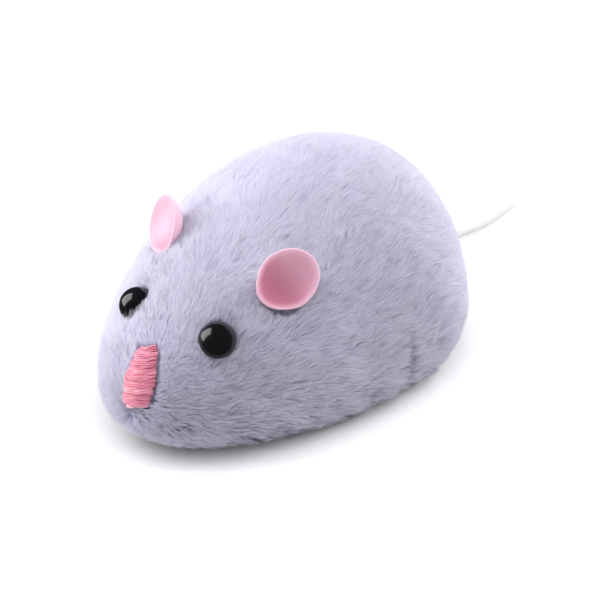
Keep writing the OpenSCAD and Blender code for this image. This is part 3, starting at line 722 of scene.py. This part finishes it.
def grow(roots, normals):
    """Points of every fibre at its stations, as an array (fibre, station, 3)."""
    count = len(roots)
    depth = pile_depth(roots + normals * PILE)
    way = sweep(roots, normals)
    near_nose = np.linalg.norm(roots - NOSE_MID, axis=1)
    length = NOSE_LENGTH + (BODY_LENGTH - NOSE_LENGTH) * smooth(*NOSE_LENGTH_REACH, near_nose)
    for side in SIDES:
        d = np.linalg.norm(roots - EYE_AT[side], axis=1) - EYE_R
        away = smooth(0.0, EYE_FUR_REACH, d)
        length = length * (EYE_FUR_LENGTH + (1 - EYE_FUR_LENGTH) * away)
        inward = mirrored(roots - EYE_AT[side], side) @ BROW_WAY
        brow = BROW[side] * smooth(-0.5, 3.0, inward) * np.exp(-((d / EYE_FUR_REACH) ** 2))
        depth = depth * (EYE_FUR_HEIGHT + (1 - EYE_FUR_HEIGHT) * away + brow)
        base = EAR_SEAT[side].rim_at - EAR_SEAT[side].along * (EAR_R + 1.0)
        d = np.linalg.norm(mirrored(roots, side) - base, axis=1)
        depth = depth * (1 + EAR_FUR * smooth(*EAR_FUR_REACH, d))
    off = roots - FOLD_AT
    beside = off @ FOLD_ACROSS
    above = off[:, 2] - beside * FOLD_ACROSS[2]
    fold = np.exp(-((beside / FOLD_W) ** 2) - (above / FOLD_H) ** 4) * (roots[:, 0] > 0)
    depth = depth * (1 - FOLD_DEEP * fold)
    length = length * rng.uniform(*LENGTH_SPREAD, count)
    tuft = smooth(*TUFT_Z, roots[:, 2]) * (rng.random(count) < TUFT_SHARE)
    length = length * (1 + TUFT_LONGER * tuft)
    uneven = 1 + sum(size * waves(roots, *wave) for size, *wave in UNEVEN)
    height = depth * rng.uniform(*HEIGHT_SPREAD, count) * np.minimum(uneven, 1.0)
    height = height * (1 + TUFT_HIGHER * tuft)
    ratio = np.clip(height / length, FLATTEST, STEEPEST)
    start = start_angle(ratio, TIP_ANGLE)[:, None]
    theta = start + (TIP_ANGLE - start) * STATIONS
    run = length[:, None] * (np.sin(theta) - np.sin(start)) / (TIP_ANGLE - start)
    rise = length[:, None] * (np.cos(start) - np.cos(theta)) / (TIP_ANGLE - start)
    # the cloth curves away under the fibres
    curve_r = NOSE_CURVE_R + BODY_CURVE_MORE * smooth(*CURVE_REACH, near_nose)[:, None]
    side_way = np.cross(normals, way)
    bend = rng.normal(0, SIDE_BEND, count)[:, None] * length[:, None] * STATIONS**2
    return (
        roots[:, None]
        + way[:, None] * run[..., None]
        + normals[:, None] * (rise - run**2 / (2 * curve_r))[..., None]
        + side_way[:, None] * bend[..., None]
    )


def clump(paths, low, share, pull, power, hem_pull):
    """Draws the tips of fibres to guides near them; low is 1 at the hem, 0 higher up."""
    guides = rng.choice(len(paths), size=int(len(paths) * share), replace=False)
    tree = KDTree(len(guides))
    for k, g in enumerate(guides):
        tree.insert(paths[g, 0], k)
    tree.balance()
    mine = np.array([tree.find(p)[1] for p in paths[:, 0]])
    strength = hem_pull * low + rng.uniform(*pull, len(guides))[mine]
    shift = paths[guides[mine]] - paths
    return paths + shift * (strength[:, None] * STATIONS**power)[..., None], mine


def crosses_ear(paths):
    """True for fibres that run into the wall or the hollow of an ear."""
    crossing = np.zeros(len(paths), bool)
    share = np.linspace(0, 1, 5)[:, None, None, None]
    for side in SIDES:
        off = mirrored(paths[:, 0], side) - EAR_SEAT[side].rim_at
        around = np.linalg.norm(off, axis=1) < EAR_NEAR
        part = paths[around]
        dense = part[None, :, :-1] * (1 - share) + part[None, :, 1:] * share
        gap = ear_clearance(dense.reshape(-1, 3), side).reshape(dense.shape[:3])
        crossing[around] |= (gap < EAR_GAP).any((0, 2))
    return crossing


def keep_clear(paths):
    """Pushes fibres off the eye beads and the floor and shortens those that meet an ear."""
    for side in SIDES:
        off = paths - EYE_AT[side]
        d = np.linalg.norm(off, axis=-1, keepdims=True)
        clear = EYE_AT[side] + off / d * (EYE_R + EYE_GAP)
        paths = np.where(d < EYE_R + EYE_GAP, clear, paths)
    lowest = FLOOR_GAP[0] + FLOOR_GAP[1] * rng.random(paths.shape[:2])
    paths[..., 2] = np.maximum(paths[..., 2], lowest)
    crossing = crosses_ear(paths)
    for _ in range(4):
        roots = paths[crossing, :1]
        paths[crossing] = roots + (paths[crossing] - roots) * SHORTER
        crossing = crosses_ear(paths)
    return paths, crossing


def ribbons(paths, normals):
    """Points and faces of one thin pointed blade for each fibre."""
    count = len(paths)
    tangent = unit(np.gradient(paths, axis=1))
    width_way = unit(np.cross(tangent, normals[:, None]))
    facing = np.cross(width_way, tangent)
    roll = rng.normal(0, FIBRE_ROLL, count)[:, None, None]
    width_way = width_way * np.cos(roll) + facing * np.sin(roll)
    half = FIBRE_W / 2 * rng.uniform(*FIBRE_W_SPREAD, count)[:, None] * WIDTHS
    body = paths[:, :-1]
    left = body - width_way[:, :-1] * half[..., None]
    right = body + width_way[:, :-1] * half[..., None]
    rows = np.stack([left, right], 2).reshape(count, -1, 3)
    points = np.concatenate([rows, paths[:, -1:]], 1)
    stations = len(STATIONS) - 1
    per = 2 * stations + 1
    base = np.arange(count)[:, None, None] * per
    i = np.arange(stations - 1)[:, None] * 2
    quads = (base + i + np.array([0, 1, 3, 2])).reshape(-1, 4)
    tip = (base[:, 0] + np.array([per - 3, per - 2, per - 1])).reshape(-1, 3)
    return points.reshape(-1, 3), quads, tip


def add_shade_uv(obj, shade, quads, tips):
    """Texture coordinates: across is the fibre's shade, up is the place along it."""
    stations = len(STATIONS) - 1
    along = np.concatenate([np.repeat(STATIONS[:-1], 2), [1.0]])
    across = np.concatenate([np.tile([0.0, 1.0], stations), [0.5]])
    u = (shade[:, None] + across) / SHADES
    v = np.broadcast_to(along, u.shape)
    uv = np.stack([u, v], -1).reshape(-1, 2)
    layer = obj.data.uv_layers.new(name="OFBake")
    order = np.concatenate([quads.ravel(), tips.ravel()])
    layer.data.foreach_set("uv", uv[order].astype(np.float32).ravel())


FUR_NAMES = (
    "nose", "muzzle", "cheeks", "neck", "shoulders", "ribs",
    "back", "flanks", "loins", "hips", "haunches", "rump",
)


def make_fur():
    """The pile, in one piece for each stretch of the body from nose to rump."""
    roots, normals = sample_roots(STRANDS)
    keep = allowed(roots)
    roots, normals = roots[keep], normals[keep]
    paths = grow(roots, normals)
    low = smooth(*LOCK_HEM_Z, roots[:, 2])
    paths, lock = clump(paths, low, *LOCKS)
    paths, _ = clump(paths, low, *BIG_LOCKS)
    paths, crossing = keep_clear(paths)
    roots, normals, paths, lock = (v[~crossing] for v in (roots, normals, paths, lock))
    bumps = np.stack([waves(roots, NAP_WAVELENGTH, seed) for seed in NAP_SEEDS], -1)
    naps = unit(normals + NAP_UNEVEN * bumps)
    shade = MEAN_SHADE + rng.normal(0, LOCK_SHADE_SPREAD, lock.max() + 1)[lock]
    shade = shade + rng.normal(0, SHADE_SPREAD, len(paths))
    shade = np.clip(np.round(shade), 0, SHADES - 1)
    order = np.argsort(roots[:, 1], kind="stable")
    made = []
    for name, part in zip(FUR_NAMES, np.array_split(order, len(FUR_NAMES))):
        points, quads, tips = ribbons(paths[part], normals[part])
        obj = make_object("pile_" + name, points, [quads, tips], PILE_MAT)
        add_shade_uv(obj, shade[part], quads, tips)
        nap = obj.data.attributes.new("nap", "FLOAT_VECTOR", "POINT")
        each = len(points) // len(part)
        lie = np.repeat(naps[part], each, 0).astype(np.float32)
        nap.data.foreach_set("vector", lie.ravel())
        made.append(obj)
    return made


# ---------- eyes ----------

EYE_STEPS = 40
# the bead's flat seat: how thick it is, and how far in its edge is rounded
SEAT_T = 0.3
SEAT_ROUND = ((0.5, 0.3), (0.15, 0.2))
LATHE_SIDES = 96


def make_eye(side, name, node):
    """Glossy bead with a flat seat at the cloth."""
    seat = EYE_SEAT[side][2] - EYE_BASE_DEEP
    turn = np.linspace(math.asin(seat / EYE_R), math.pi / 2, EYE_STEPS)
    bead = [(EYE_R * math.cos(t), EYE_R * math.sin(t)) for t in turn[:-1]]
    edge = [(bead[0][0] - inward, seat - down) for inward, down in SEAT_ROUND]
    points, faces = lathe([(0, seat - SEAT_T), *edge, *bead, (0, EYE_R)], LATHE_SIDES)
    placed = aimed(points, EYE_AT[side], EYE_OUT[side])
    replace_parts(make_object(name, placed, faces, EYE_MAT), node)


# ---------- ears ----------

EAR_STEPS = 26
EAR_LIP_STEPS = 9
# how strongly each ear's cup deepens in colour; the right ear's weaker deepening is painted
# light, paler where its cup faces the key light
EAR_BLUSH_AND_LIGHTING = {1: 1.0, -1: 0.45}
# the cup is egg-shaped: narrower across, and most at its foot
EAR_LONG = 1.05
EAR_NARROW = 0.91
EAR_FOOT_NARROW = 0.10
EAR_FOOT_REACH = (0.5, 6.5)
# the blush, partly the silicone's deeper pink and partly painted shade in the cup's hollow and
# towards its foot: its start on the bowl, its fade to the rim and its share at the top
BLUSH_SHADE_START = (2, 9)
BLUSH_SHADE_RIM = (0.72, 1.0)
BLUSH_SHADE_FULL = 1.05
BLUSH_SHADE_TOP = 0.3
BLUSH_SHADE_TOP_REACH = (3.5, -3.5)
STEM_SIDES = 24
# pink of the ear from pale to deep; the deep end stands for both the silicone's colour and
# painted shade
EAR_STOPS = [
    (0.0, (0.88, 0.58, 0.70)),
    (0.45, (0.76, 0.36, 0.47)),
    (1.0, (0.62, 0.22, 0.32)),
]


def ear_profile():
    """Section through the cup from its middle out over the rounded rim and back in."""
    edge = math.asin(EAR_R / EAR_CUP_R)
    lip_r = (EAR_CUP_R - EAR_RIM_T) * math.sin(edge)
    bowl_deep = EAR_CUP_R - (EAR_CUP_R - EAR_RIM_T) * math.cos(edge) - EAR_T
    bowl_r = (lip_r**2 + bowl_deep**2) / (2 * bowl_deep)
    turn = np.linspace(0, edge, EAR_STEPS)
    outer = np.stack([EAR_CUP_R * np.sin(turn), EAR_CUP_R - EAR_CUP_R * np.cos(turn)], -1)
    turn = np.linspace(math.asin(lip_r / bowl_r), 0, EAR_STEPS)
    inner = np.stack([bowl_r * np.sin(turn), EAR_T + bowl_r - bowl_r * np.cos(turn)], -1)
    middle = (outer[-1] + inner[0]) / 2
    inward = unit(inner[0] - outer[-1])
    beyond = np.array([math.cos(edge), math.sin(edge)])
    t = np.linspace(0, math.pi, EAR_LIP_STEPS)[1:-1, None]
    rim = middle + EAR_RIM_T / 2 * (beyond * np.sin(t) - inward * np.cos(t))
    return np.concatenate([outer, rim, inner])


def ear_blush_and_shade(rings, rho, along):
    """How far the colour deepens at each point of an ear's cup, from 0 to 1: partly its own
    deeper pink, partly painted shade in the hollow and towards the foot.
    """
    ring_of = np.concatenate([np.repeat(np.arange(rings), LATHE_SIDES), [0, rings - 1]])
    start, full = EAR_STEPS - BLUSH_SHADE_START[0], EAR_STEPS + BLUSH_SHADE_START[1]
    inside = smooth(start, full, ring_of.astype(float))
    low = smooth(*BLUSH_SHADE_TOP_REACH, along)
    bowl = np.clip(BLUSH_SHADE_FULL - smooth(*BLUSH_SHADE_RIM, rho), 0, 1)
    return inside * bowl * (BLUSH_SHADE_TOP + (1 - BLUSH_SHADE_TOP) * low)


def make_ear(side, name, node):
    """Thin egg-shaped cup on a short stem; its colour deepens to the middle of the cup, partly as
    painted shade of the hollow.
    """
    profile = ear_profile()
    points, faces = lathe(profile, LATHE_SIDES)
    rho = np.hypot(points[:, 0], points[:, 1]) / EAR_R
    points[:, 1] *= EAR_LONG
    points[:, 0] *= EAR_NARROW - EAR_FOOT_NARROW * smooth(*EAR_FOOT_REACH, -points[:, 1])
    # painted light: the right ear's cup is coloured paler than the left one
    deep = ear_blush_and_shade(len(profile) - 2, rho, points[:, 1]) * EAR_BLUSH_AND_LIGHTING[side]
    seat = EAR_SEAT[side]
    basis = np.stack([seat.across, seat.along, seat.open])
    wall_r = EAR_CUP_R - STEM_SINK
    start = seat.middle - wall_r * (
        math.cos(STEM_TURN) * seat.open + math.sin(STEM_TURN) * seat.along
    )
    rod = [(0, 0), (STEM_R, 0), (STEM_R, STEM_LEN), (0, STEM_LEN)]
    stem, stem_faces = lathe(rod, STEM_SIDES)
    first = len(points)
    points = np.concatenate([points @ basis + seat.at, aimed(stem, start, -seat.out)])
    faces = [np.concatenate([f, g + first]) for f, g in zip(faces, stem_faces)]
    if side < 0:
        faces = [f[:, ::-1] for f in faces]
    obj = make_object(name, mirrored(points, side), faces, EAR_MAT)
    add_values(obj, "blush_and_shade", np.append(deep, np.zeros(len(stem))))
    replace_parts(obj, node)


def ear_material():
    """Soft pink moulding that lets a little light in."""
    material, tree, shader = new_material(
        "ear_silicone",
        Roughness=0.42,
        Specular_IOR_Level=0.4,
        Subsurface_Weight=0.25,
        Subsurface_Radius=(1.0, 0.4, 0.4),
        Subsurface_Scale=0.0012,
    )
    link = tree.links.new
    blush_and_shade = add(tree, "ShaderNodeAttribute", attribute_name="blush_and_shade")
    # the pink deepens with the blush mask: the silicone's own deeper pink and painted shade of
    # the cup's hollow
    color = ramp(tree, blush_and_shade.outputs["Fac"], EAR_STOPS)
    link(color, shader.inputs["Base Color"])
    grain = add(tree, "ShaderNodeTexNoise", Scale=3500.0, Detail=2.0)
    bump = add(tree, "ShaderNodeBump", Strength=0.2, Distance=0.01 * MM)
    link(grain.outputs["Fac"], bump.inputs["Height"])
    link(bump.outputs["Normal"], shader.inputs["Normal"])
    return material


# ---------- stitched nose ----------

ROWS = 44
ROW_STEPS = 30
THREAD_SIDES = 6
PLY_R = 0.13
PLY_OFF = 0.8 * PLY_R
PLY_TURNS = 1.1
PAD_R = 0.26
PAD_OFF = -0.22
# the padding is coloured darker than the rows: painted shade where it shows between them
PAD_SHADE_TINT = 0.1
NOSE_DEEP = 0.55
# the ends of the patch are rounded
END_NARROW = 0.3
END_REACH = 0.08
# the patch is padded: highest in its middle, lower at its foot and top
PAD_HIGH = 0.85
PAD_END_REACH = 0.12
PAD_END_SHARE = 0.5
ROW_LIFT = 0.05
LIFT_RISE = 0.12
WAVER = 0.08
# spread of the rows' ends, slant, lift and shade
END_SPREAD = 0.12
SLANT_SPREAD = 0.10
LIFT_SPREAD = 0.05
TINT_MEAN, TINT_SPREAD = 0.5, 0.22
NOSE_STOPS = [
    (0.0, (0.62, 0.15, 0.24)),
    (0.5, (0.86, 0.29, 0.40)),
    (1.0, (1.0, 0.52, 0.60)),
]


def nose_row(row, along):
    """Middle line of one row of thread, and half the patch's width there."""
    up = (row + 0.5) / ROWS
    half = nose_half_width(up)
    rounding = smooth(END_REACH, 0.0, up) + smooth(1 - END_REACH, 1.0, up)
    half *= 1 - END_NARROW * rounding
    half_l, half_r = half + rng.normal(0, END_SPREAD, 2)
    slant = ROW_SLANT + rng.normal(0, SLANT_SPREAD)
    x = nose_middle(up) + np.where(along < 0, half_l, half_r) * along
    z = NOSE_FOOT + NOSE_H * up + slant * along + WAVER * np.sin(3 * along + row)
    ends = smooth(0, PAD_END_REACH, up) * smooth(1, 1 - PAD_END_REACH, up)
    bulge = PAD_HIGH * np.sqrt(np.clip(1 - along**2, 0, 1))
    bulge = bulge * (ends * PAD_END_SHARE + 1 - PAD_END_SHARE)
    lift = bulge + ROW_LIFT + rng.normal(0, LIFT_SPREAD)
    out = np.stack([0 * lift, -lift, LIFT_RISE * lift], -1)
    return face_point(x, z, NOSE_DEEP) + out, half


def make_nose():
    """Satin stitch: rows of two-ply thread laid across a padded patch."""
    along = np.linspace(-1, 1, ROW_STEPS)
    turn = np.arange(THREAD_SIDES) * 2 * math.pi / THREAD_SIDES
    points, quads, tris, tint_and_shade = [], [], [], []
    first = 0
    count = ROW_STEPS * THREAD_SIDES
    for row in range(ROWS):
        line, half = nose_row(row, along)
        tangent = unit(np.gradient(line, axis=0))
        side_way = unit(np.cross(tangent, [0, -1, 0.2]))
        out_way = np.cross(side_way, tangent)
        phase = rng.uniform(0, 2 * math.pi)
        shade = rng.normal(TINT_MEAN, TINT_SPREAD)
        twist = phase + along * half * PLY_TURNS
        threads = (
            (PLY_R, PLY_OFF, twist, shade),
            (PLY_R, PLY_OFF, twist + math.pi, shade),
            (PAD_R, PAD_OFF, np.full(ROW_STEPS, math.pi / 2), PAD_SHADE_TINT),
        )
        for thread_r, off_line, twisted, thread_tint_and_shade in threads:
            centre = line + off_line * (
                np.cos(twisted)[:, None] * side_way + np.sin(twisted)[:, None] * out_way
            )
            ring = centre[:, None] + thread_r * (
                np.cos(turn)[None, :, None] * side_way[:, None]
                + np.sin(turn)[None, :, None] * out_way[:, None]
            )
            points += [ring.reshape(-1, 3), centre[:1], centre[-1:]]
            quads.append(ring_quads(ROW_STEPS, THREAD_SIDES, first)[:, ::-1])
            last = first + count - THREAD_SIDES
            tris.append(fan(first, THREAD_SIDES, first + count))
            tris.append(fan(last, THREAD_SIDES, first + count + 1, True))
            tint_and_shade.append(np.full(count + 2, thread_tint_and_shade))
            first += count + 2
    faces = [np.concatenate(quads), np.concatenate(tris)]
    obj = make_object("nose_stitches", np.concatenate(points), faces, NOSE_MAT)
    add_values(obj, "tint_and_shade", np.concatenate(tint_and_shade))
    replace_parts(obj, "nose_embroidery")


def nose_material():
    """Shiny pink thread; each row has its own shade, and the padding under the rows is darker, as
    painted shade between the rows.
    """
    material, tree, shader = new_material(
        "nose_thread",
        Roughness=0.38,
        Specular_IOR_Level=0.55,
        Sheen_Weight=0.3,
        Sheen_Roughness=0.4,
    )
    tint_and_shade = add(tree, "ShaderNodeAttribute", attribute_name="tint_and_shade")
    color = ramp(tree, tint_and_shade.outputs["Fac"], NOSE_STOPS)
    tree.links.new(color, shader.inputs["Base Color"])
    return material


# ---------- tail ----------

TAIL_STEPS = 8
TAIL_SIDES = 24
# faint rings left by the mould, stronger towards the rump
RING_DEEP = 0.012
RING_COUNT = 90
# rounded tip: share of the tip's radius along, and of its radius across
TIP_ALONG = (0.5, 0.85)
TIP_ACROSS = np.array([0.86, 0.5])
TIP_END = 0.06


def spline(route, steps):
    """Smooth curve through the route's points, steps to each stretch."""
    ends = np.concatenate([[2 * route[0] - route[1]], route, [2 * route[-1] - route[-2]]])
    t = np.linspace(0, 1, steps, endpoint=False)[:, None]
    out = []
    for i in range(len(route) - 1):
        a, b, c, d = ends[i : i + 4]
        out.append(
            0.5
            * (
                2 * b
                + (c - a) * t
                + (2 * a - 5 * b + 4 * c - d) * t**2
                + (3 * b - a - 3 * c + d) * t**3
            )
        )
    return np.concatenate(out + [route[-1:]])


def make_tail():
    """Moulded rubber tail: a smooth taper with a rounded tip."""
    line = spline(TAIL_ROUTE, TAIL_STEPS)
    share = np.linspace(0, 1, len(line))
    radius = (TAIL_D + (TAIL_TIP_D - TAIL_D) * share) / 2
    radius = radius * (1 + RING_DEEP * np.sin(share * RING_COUNT) * (1 - share))
    tangent = unit(np.gradient(line, axis=0))
    tip = [line[-1] + tangent[-1] * radius[-1] * k for k in TIP_ALONG]
    line = np.concatenate([line, tip])
    radius = np.concatenate([radius, radius[-1] * TIP_ACROSS])
    tangent = np.concatenate([tangent, tangent[-1:], tangent[-1:]])
    across = unit(np.cross(tangent, [0, 0, 1]))
    up = np.cross(across, tangent)
    t = np.arange(TAIL_SIDES) * 2 * math.pi / TAIL_SIDES
    ring = line[:, None] + radius[:, None, None] * (
        np.cos(t)[None, :, None] * across[:, None] + np.sin(t)[None, :, None] * up[:, None]
    )
    end = line[-1:] + tangent[-1:] * TIP_END
    points = np.concatenate([ring.reshape(-1, 3), line[:1], end])
    count = len(line) * TAIL_SIDES
    faces = [
        ring_quads(len(line), TAIL_SIDES),
        fan(0, TAIL_SIDES, count, True),
        fan(count - TAIL_SIDES, TAIL_SIDES, count + 1),
    ]
    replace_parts(make_object("tail_tube", points, faces, TAIL_MAT), "tail")


# ---------- camera, light and floor ----------

VIEW_TURN = math.radians(38.5)
VIEW_RISE = math.radians(31.5)
VIEW_FROM = 600.0
VIEW_AT = np.array([0.0, 0.0, 22.0])
SIDE_STEP = 5.58
DOWN_STEP = -5.64
SENSOR = 36.0
# frame widths to a millimetre at the mouse
VIEW_SCALE = 4.726 / 600
LIGHT_AIM = (0.0, 0.0, 0.02)
SHADE_TINT = (0.92, 0.90, 1.0)
WHITE = (1.0, 1.0, 1.0)
# way to each softbox, its distance, width and height in metres, level, tint and gloss
LIGHTS = {
    "key": ((-0.80, -0.38, 0.47), 1.0, (0.8, 1.15), 1.38, WHITE, True),
    "fill": ((0.38, 0.71, 0.59), 1.2, (0.9, 0.9), 1.06, WHITE, False),
    "front": ((0.16, -0.26, 0.95), 1.2, (0.9, 0.9), 0.48, SHADE_TINT, False),
}
SKY_LEVEL = 0.06
FLOOR_SIZE = 3.0
FLOOR_DROP = 0.0002
FLOOR_GREY = 0.6
FLOOR_GLOW = 0.65
FLOOR_SHADE_REACH = 0.03
BACKDROP_R = 1.0
BACKDROP_H = 1.5
BACKDROP_LOW = -0.01
BACKDROP_SIDES = 96


def view_axes():
    """Directions to the right, up and towards the camera in its view."""
    right = np.array([math.cos(VIEW_TURN), math.sin(VIEW_TURN), 0])
    away = np.array([math.sin(VIEW_TURN), -math.cos(VIEW_TURN), 0])
    back = away * math.cos(VIEW_RISE) + [0, 0, math.sin(VIEW_RISE)]
    return right, np.cross(back, right), back


def make_camera():
    """Long lens at the mouse's front left, from above."""
    right, up, back = view_axes()
    data = bpy.data.cameras.new("camera")
    data.sensor_width = SENSOR
    data.lens = VIEW_SCALE * VIEW_FROM * SENSOR
    data.clip_start = 0.01
    camera = in_scene("camera", data)
    at = VIEW_AT + VIEW_FROM * back + SIDE_STEP * right + DOWN_STEP * up
    turn = Matrix([[*row] for row in np.stack([right, up, back], 1)]).to_4x4()
    camera.matrix_world = Matrix.Translation(Vector(at * MM)) @ turn
    bpy.context.scene.camera = camera


def area_light(name, way, distance, size, level, tint_and_shade, glossy):
    """Softbox that lights a facing surface to a level, as radiance from a white surface."""
    data = bpy.data.lights.new(name, "AREA")
    data.shape = "RECTANGLE"
    data.size, data.size_y = size
    data.energy = level * math.pi**2 * distance**2
    data.color = tint_and_shade
    lamp = in_scene(name, data)
    way = Vector(unit(way))
    turn = way.to_track_quat("Z", "Y").to_matrix().to_4x4()
    lamp.matrix_world = Matrix.Translation(way * distance + Vector(LIGHT_AIM)) @ turn
    lamp.visible_glossy = glossy


def make_floor():
    """Plain white sweep that glows a little, less where the mouse shades it."""
    half = FLOOR_SIZE / 2
    mesh = bpy.data.meshes.new("floor")
    corners = [(-half, -half, 0), (half, -half, 0), (half, half, 0), (-half, half, 0)]
    mesh.from_pydata(corners, [], [(0, 1, 2, 3)])
    floor = in_scene("floor", mesh)
    floor.location.z = -FLOOR_DROP
    floor.visible_glossy = False
    material, tree, shader = new_material(
        "floor",
        Roughness=0.9,
        Specular_IOR_Level=0.1,
        Base_Color=(FLOOR_GREY, FLOOR_GREY, FLOOR_GREY, 1),
        Emission_Strength=FLOOR_GLOW,
    )
    open_sky = add(tree, "ShaderNodeAmbientOcclusion", samples=8, Distance=FLOOR_SHADE_REACH)
    tree.links.new(open_sky.outputs["Color"], shader.inputs["Emission Color"])
    mesh.materials.append(material)


def make_backdrop():
    """White wall around the floor, seen only by the camera."""
    turn = np.linspace(0, 2 * math.pi, BACKDROP_SIDES, endpoint=False)
    ring = np.stack([BACKDROP_R * np.cos(turn), BACKDROP_R * np.sin(turn)], -1)
    points = [(x, y, z) for z in (BACKDROP_LOW, BACKDROP_H) for x, y in ring]
    mesh = bpy.data.meshes.new("backdrop")
    mesh.from_pydata(points, [], ring_quads(2, BACKDROP_SIDES).tolist())
    wall = in_scene("backdrop", mesh)
    wall.visible_diffuse = False
    wall.visible_glossy = False
    wall.visible_transmission = False
    wall.visible_shadow = False
    material, _, _ = new_material(
        "backdrop", Roughness=1.0, Emission_Strength=1.0, Emission_Color=(*WHITE, 1)
    )
    mesh.materials.append(material)


def make_world():
    """Dim, slightly blue sky light from all round."""
    world = bpy.data.worlds.new("world")
    bpy.context.scene.world = world
    world.use_nodes = True
    sky = world.node_tree.nodes["Background"]
    sky.inputs["Color"].default_value = (*SHADE_TINT, 1)
    sky.inputs["Strength"].default_value = SKY_LEVEL


# ---------- build ----------

# colour and roughness of the hard materials, by the record's slots
PLASTICS = {
    "shell_plastic": ((0.60, 0.60, 0.60), 0.5),
    "chassis_plastic": ((0.56, 0.56, 0.58), 0.45),
    "washer_plastic": ((0.7, 0.7, 0.7), 0.5),
    "motor_plastic": ((0.03, 0.035, 0.04), 0.35),
    "gear_plastic": ((0.75, 0.72, 0.62), 0.4),
    "wheel_plastic": ((0.58, 0.58, 0.56), 0.4),
    "knob_plastic": ((0.44, 0.44, 0.43), 0.35),
}
METALS = {
    "gear_brass": ((0.78, 0.56, 0.25), 0.3),
    "spring_steel": ((0.45, 0.46, 0.5), 0.25),
    "steel": ((0.6, 0.6, 0.62), 0.25),
    "screw_steel": ((0.5, 0.5, 0.52), 0.35),
}
CLOTH = moulded("backing_cloth", (0.72, 0.70, 0.84), rough=0.85, grain=1800.0, depth=0.15)
PILE_MAT = pile_material()
EYE_MAT = moulded("eye_gloss", (0.006, 0.006, 0.007), rough=0.14, grain=300.0, depth=0.001)
EAR_MAT = ear_material()
NOSE_MAT = nose_material()
TAIL_MAT = moulded(
    "tail_rubber",
    (0.74, 0.74, 0.72),
    rough=0.5,
    grain=1500.0,
    depth=0.03,
    Subsurface_Weight=0.15,
    Subsurface_Scale=0.001,
)
CAD_LOOKS = {
    "tyre": moulded("tyre", (0.05, 0.05, 0.055), rough=0.75, depth=0.05),
    "plush": CLOTH,
    "nose_thread": NOSE_MAT,
    "eye_gloss": EYE_MAT,
    "ear_silicone": EAR_MAT,
    "tail_rubber": TAIL_MAT,
}
for slot, (color, rough) in PLASTICS.items():
    CAD_LOOKS[slot] = moulded(slot, color, rough=rough)
for slot, (color, rough) in METALS.items():
    CAD_LOOKS[slot] = moulded(slot, color, rough=rough, Metallic=1.0)


def dress_cad():
    """Gives every CAD node its procedural material, by the record's slot."""
    for entry in frame["record"]["subparts"]:
        obj = frame["nodes"][entry["node"]]
        obj.data.materials.clear()
        obj.data.materials.append(CAD_LOOKS[entry["material_slot"]])


make_camera()
backing = make_backing()
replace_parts(backing, "plush_skin")
fur = make_fur()
make_eye(1, "eye_left_bead", "eye_left")
make_eye(-1, "eye_right_bead", "eye_right")
make_ear(1, "ear_left_cup", "ear_left")
make_ear(-1, "ear_right_cup", "ear_right")
make_nose()
make_tail()
dress_cad()
make_floor()
make_backdrop()
make_world()
for name, settings in LIGHTS.items():
    area_light(name, *settings)
bpy.context.scene.view_settings.view_transform = "Standard"
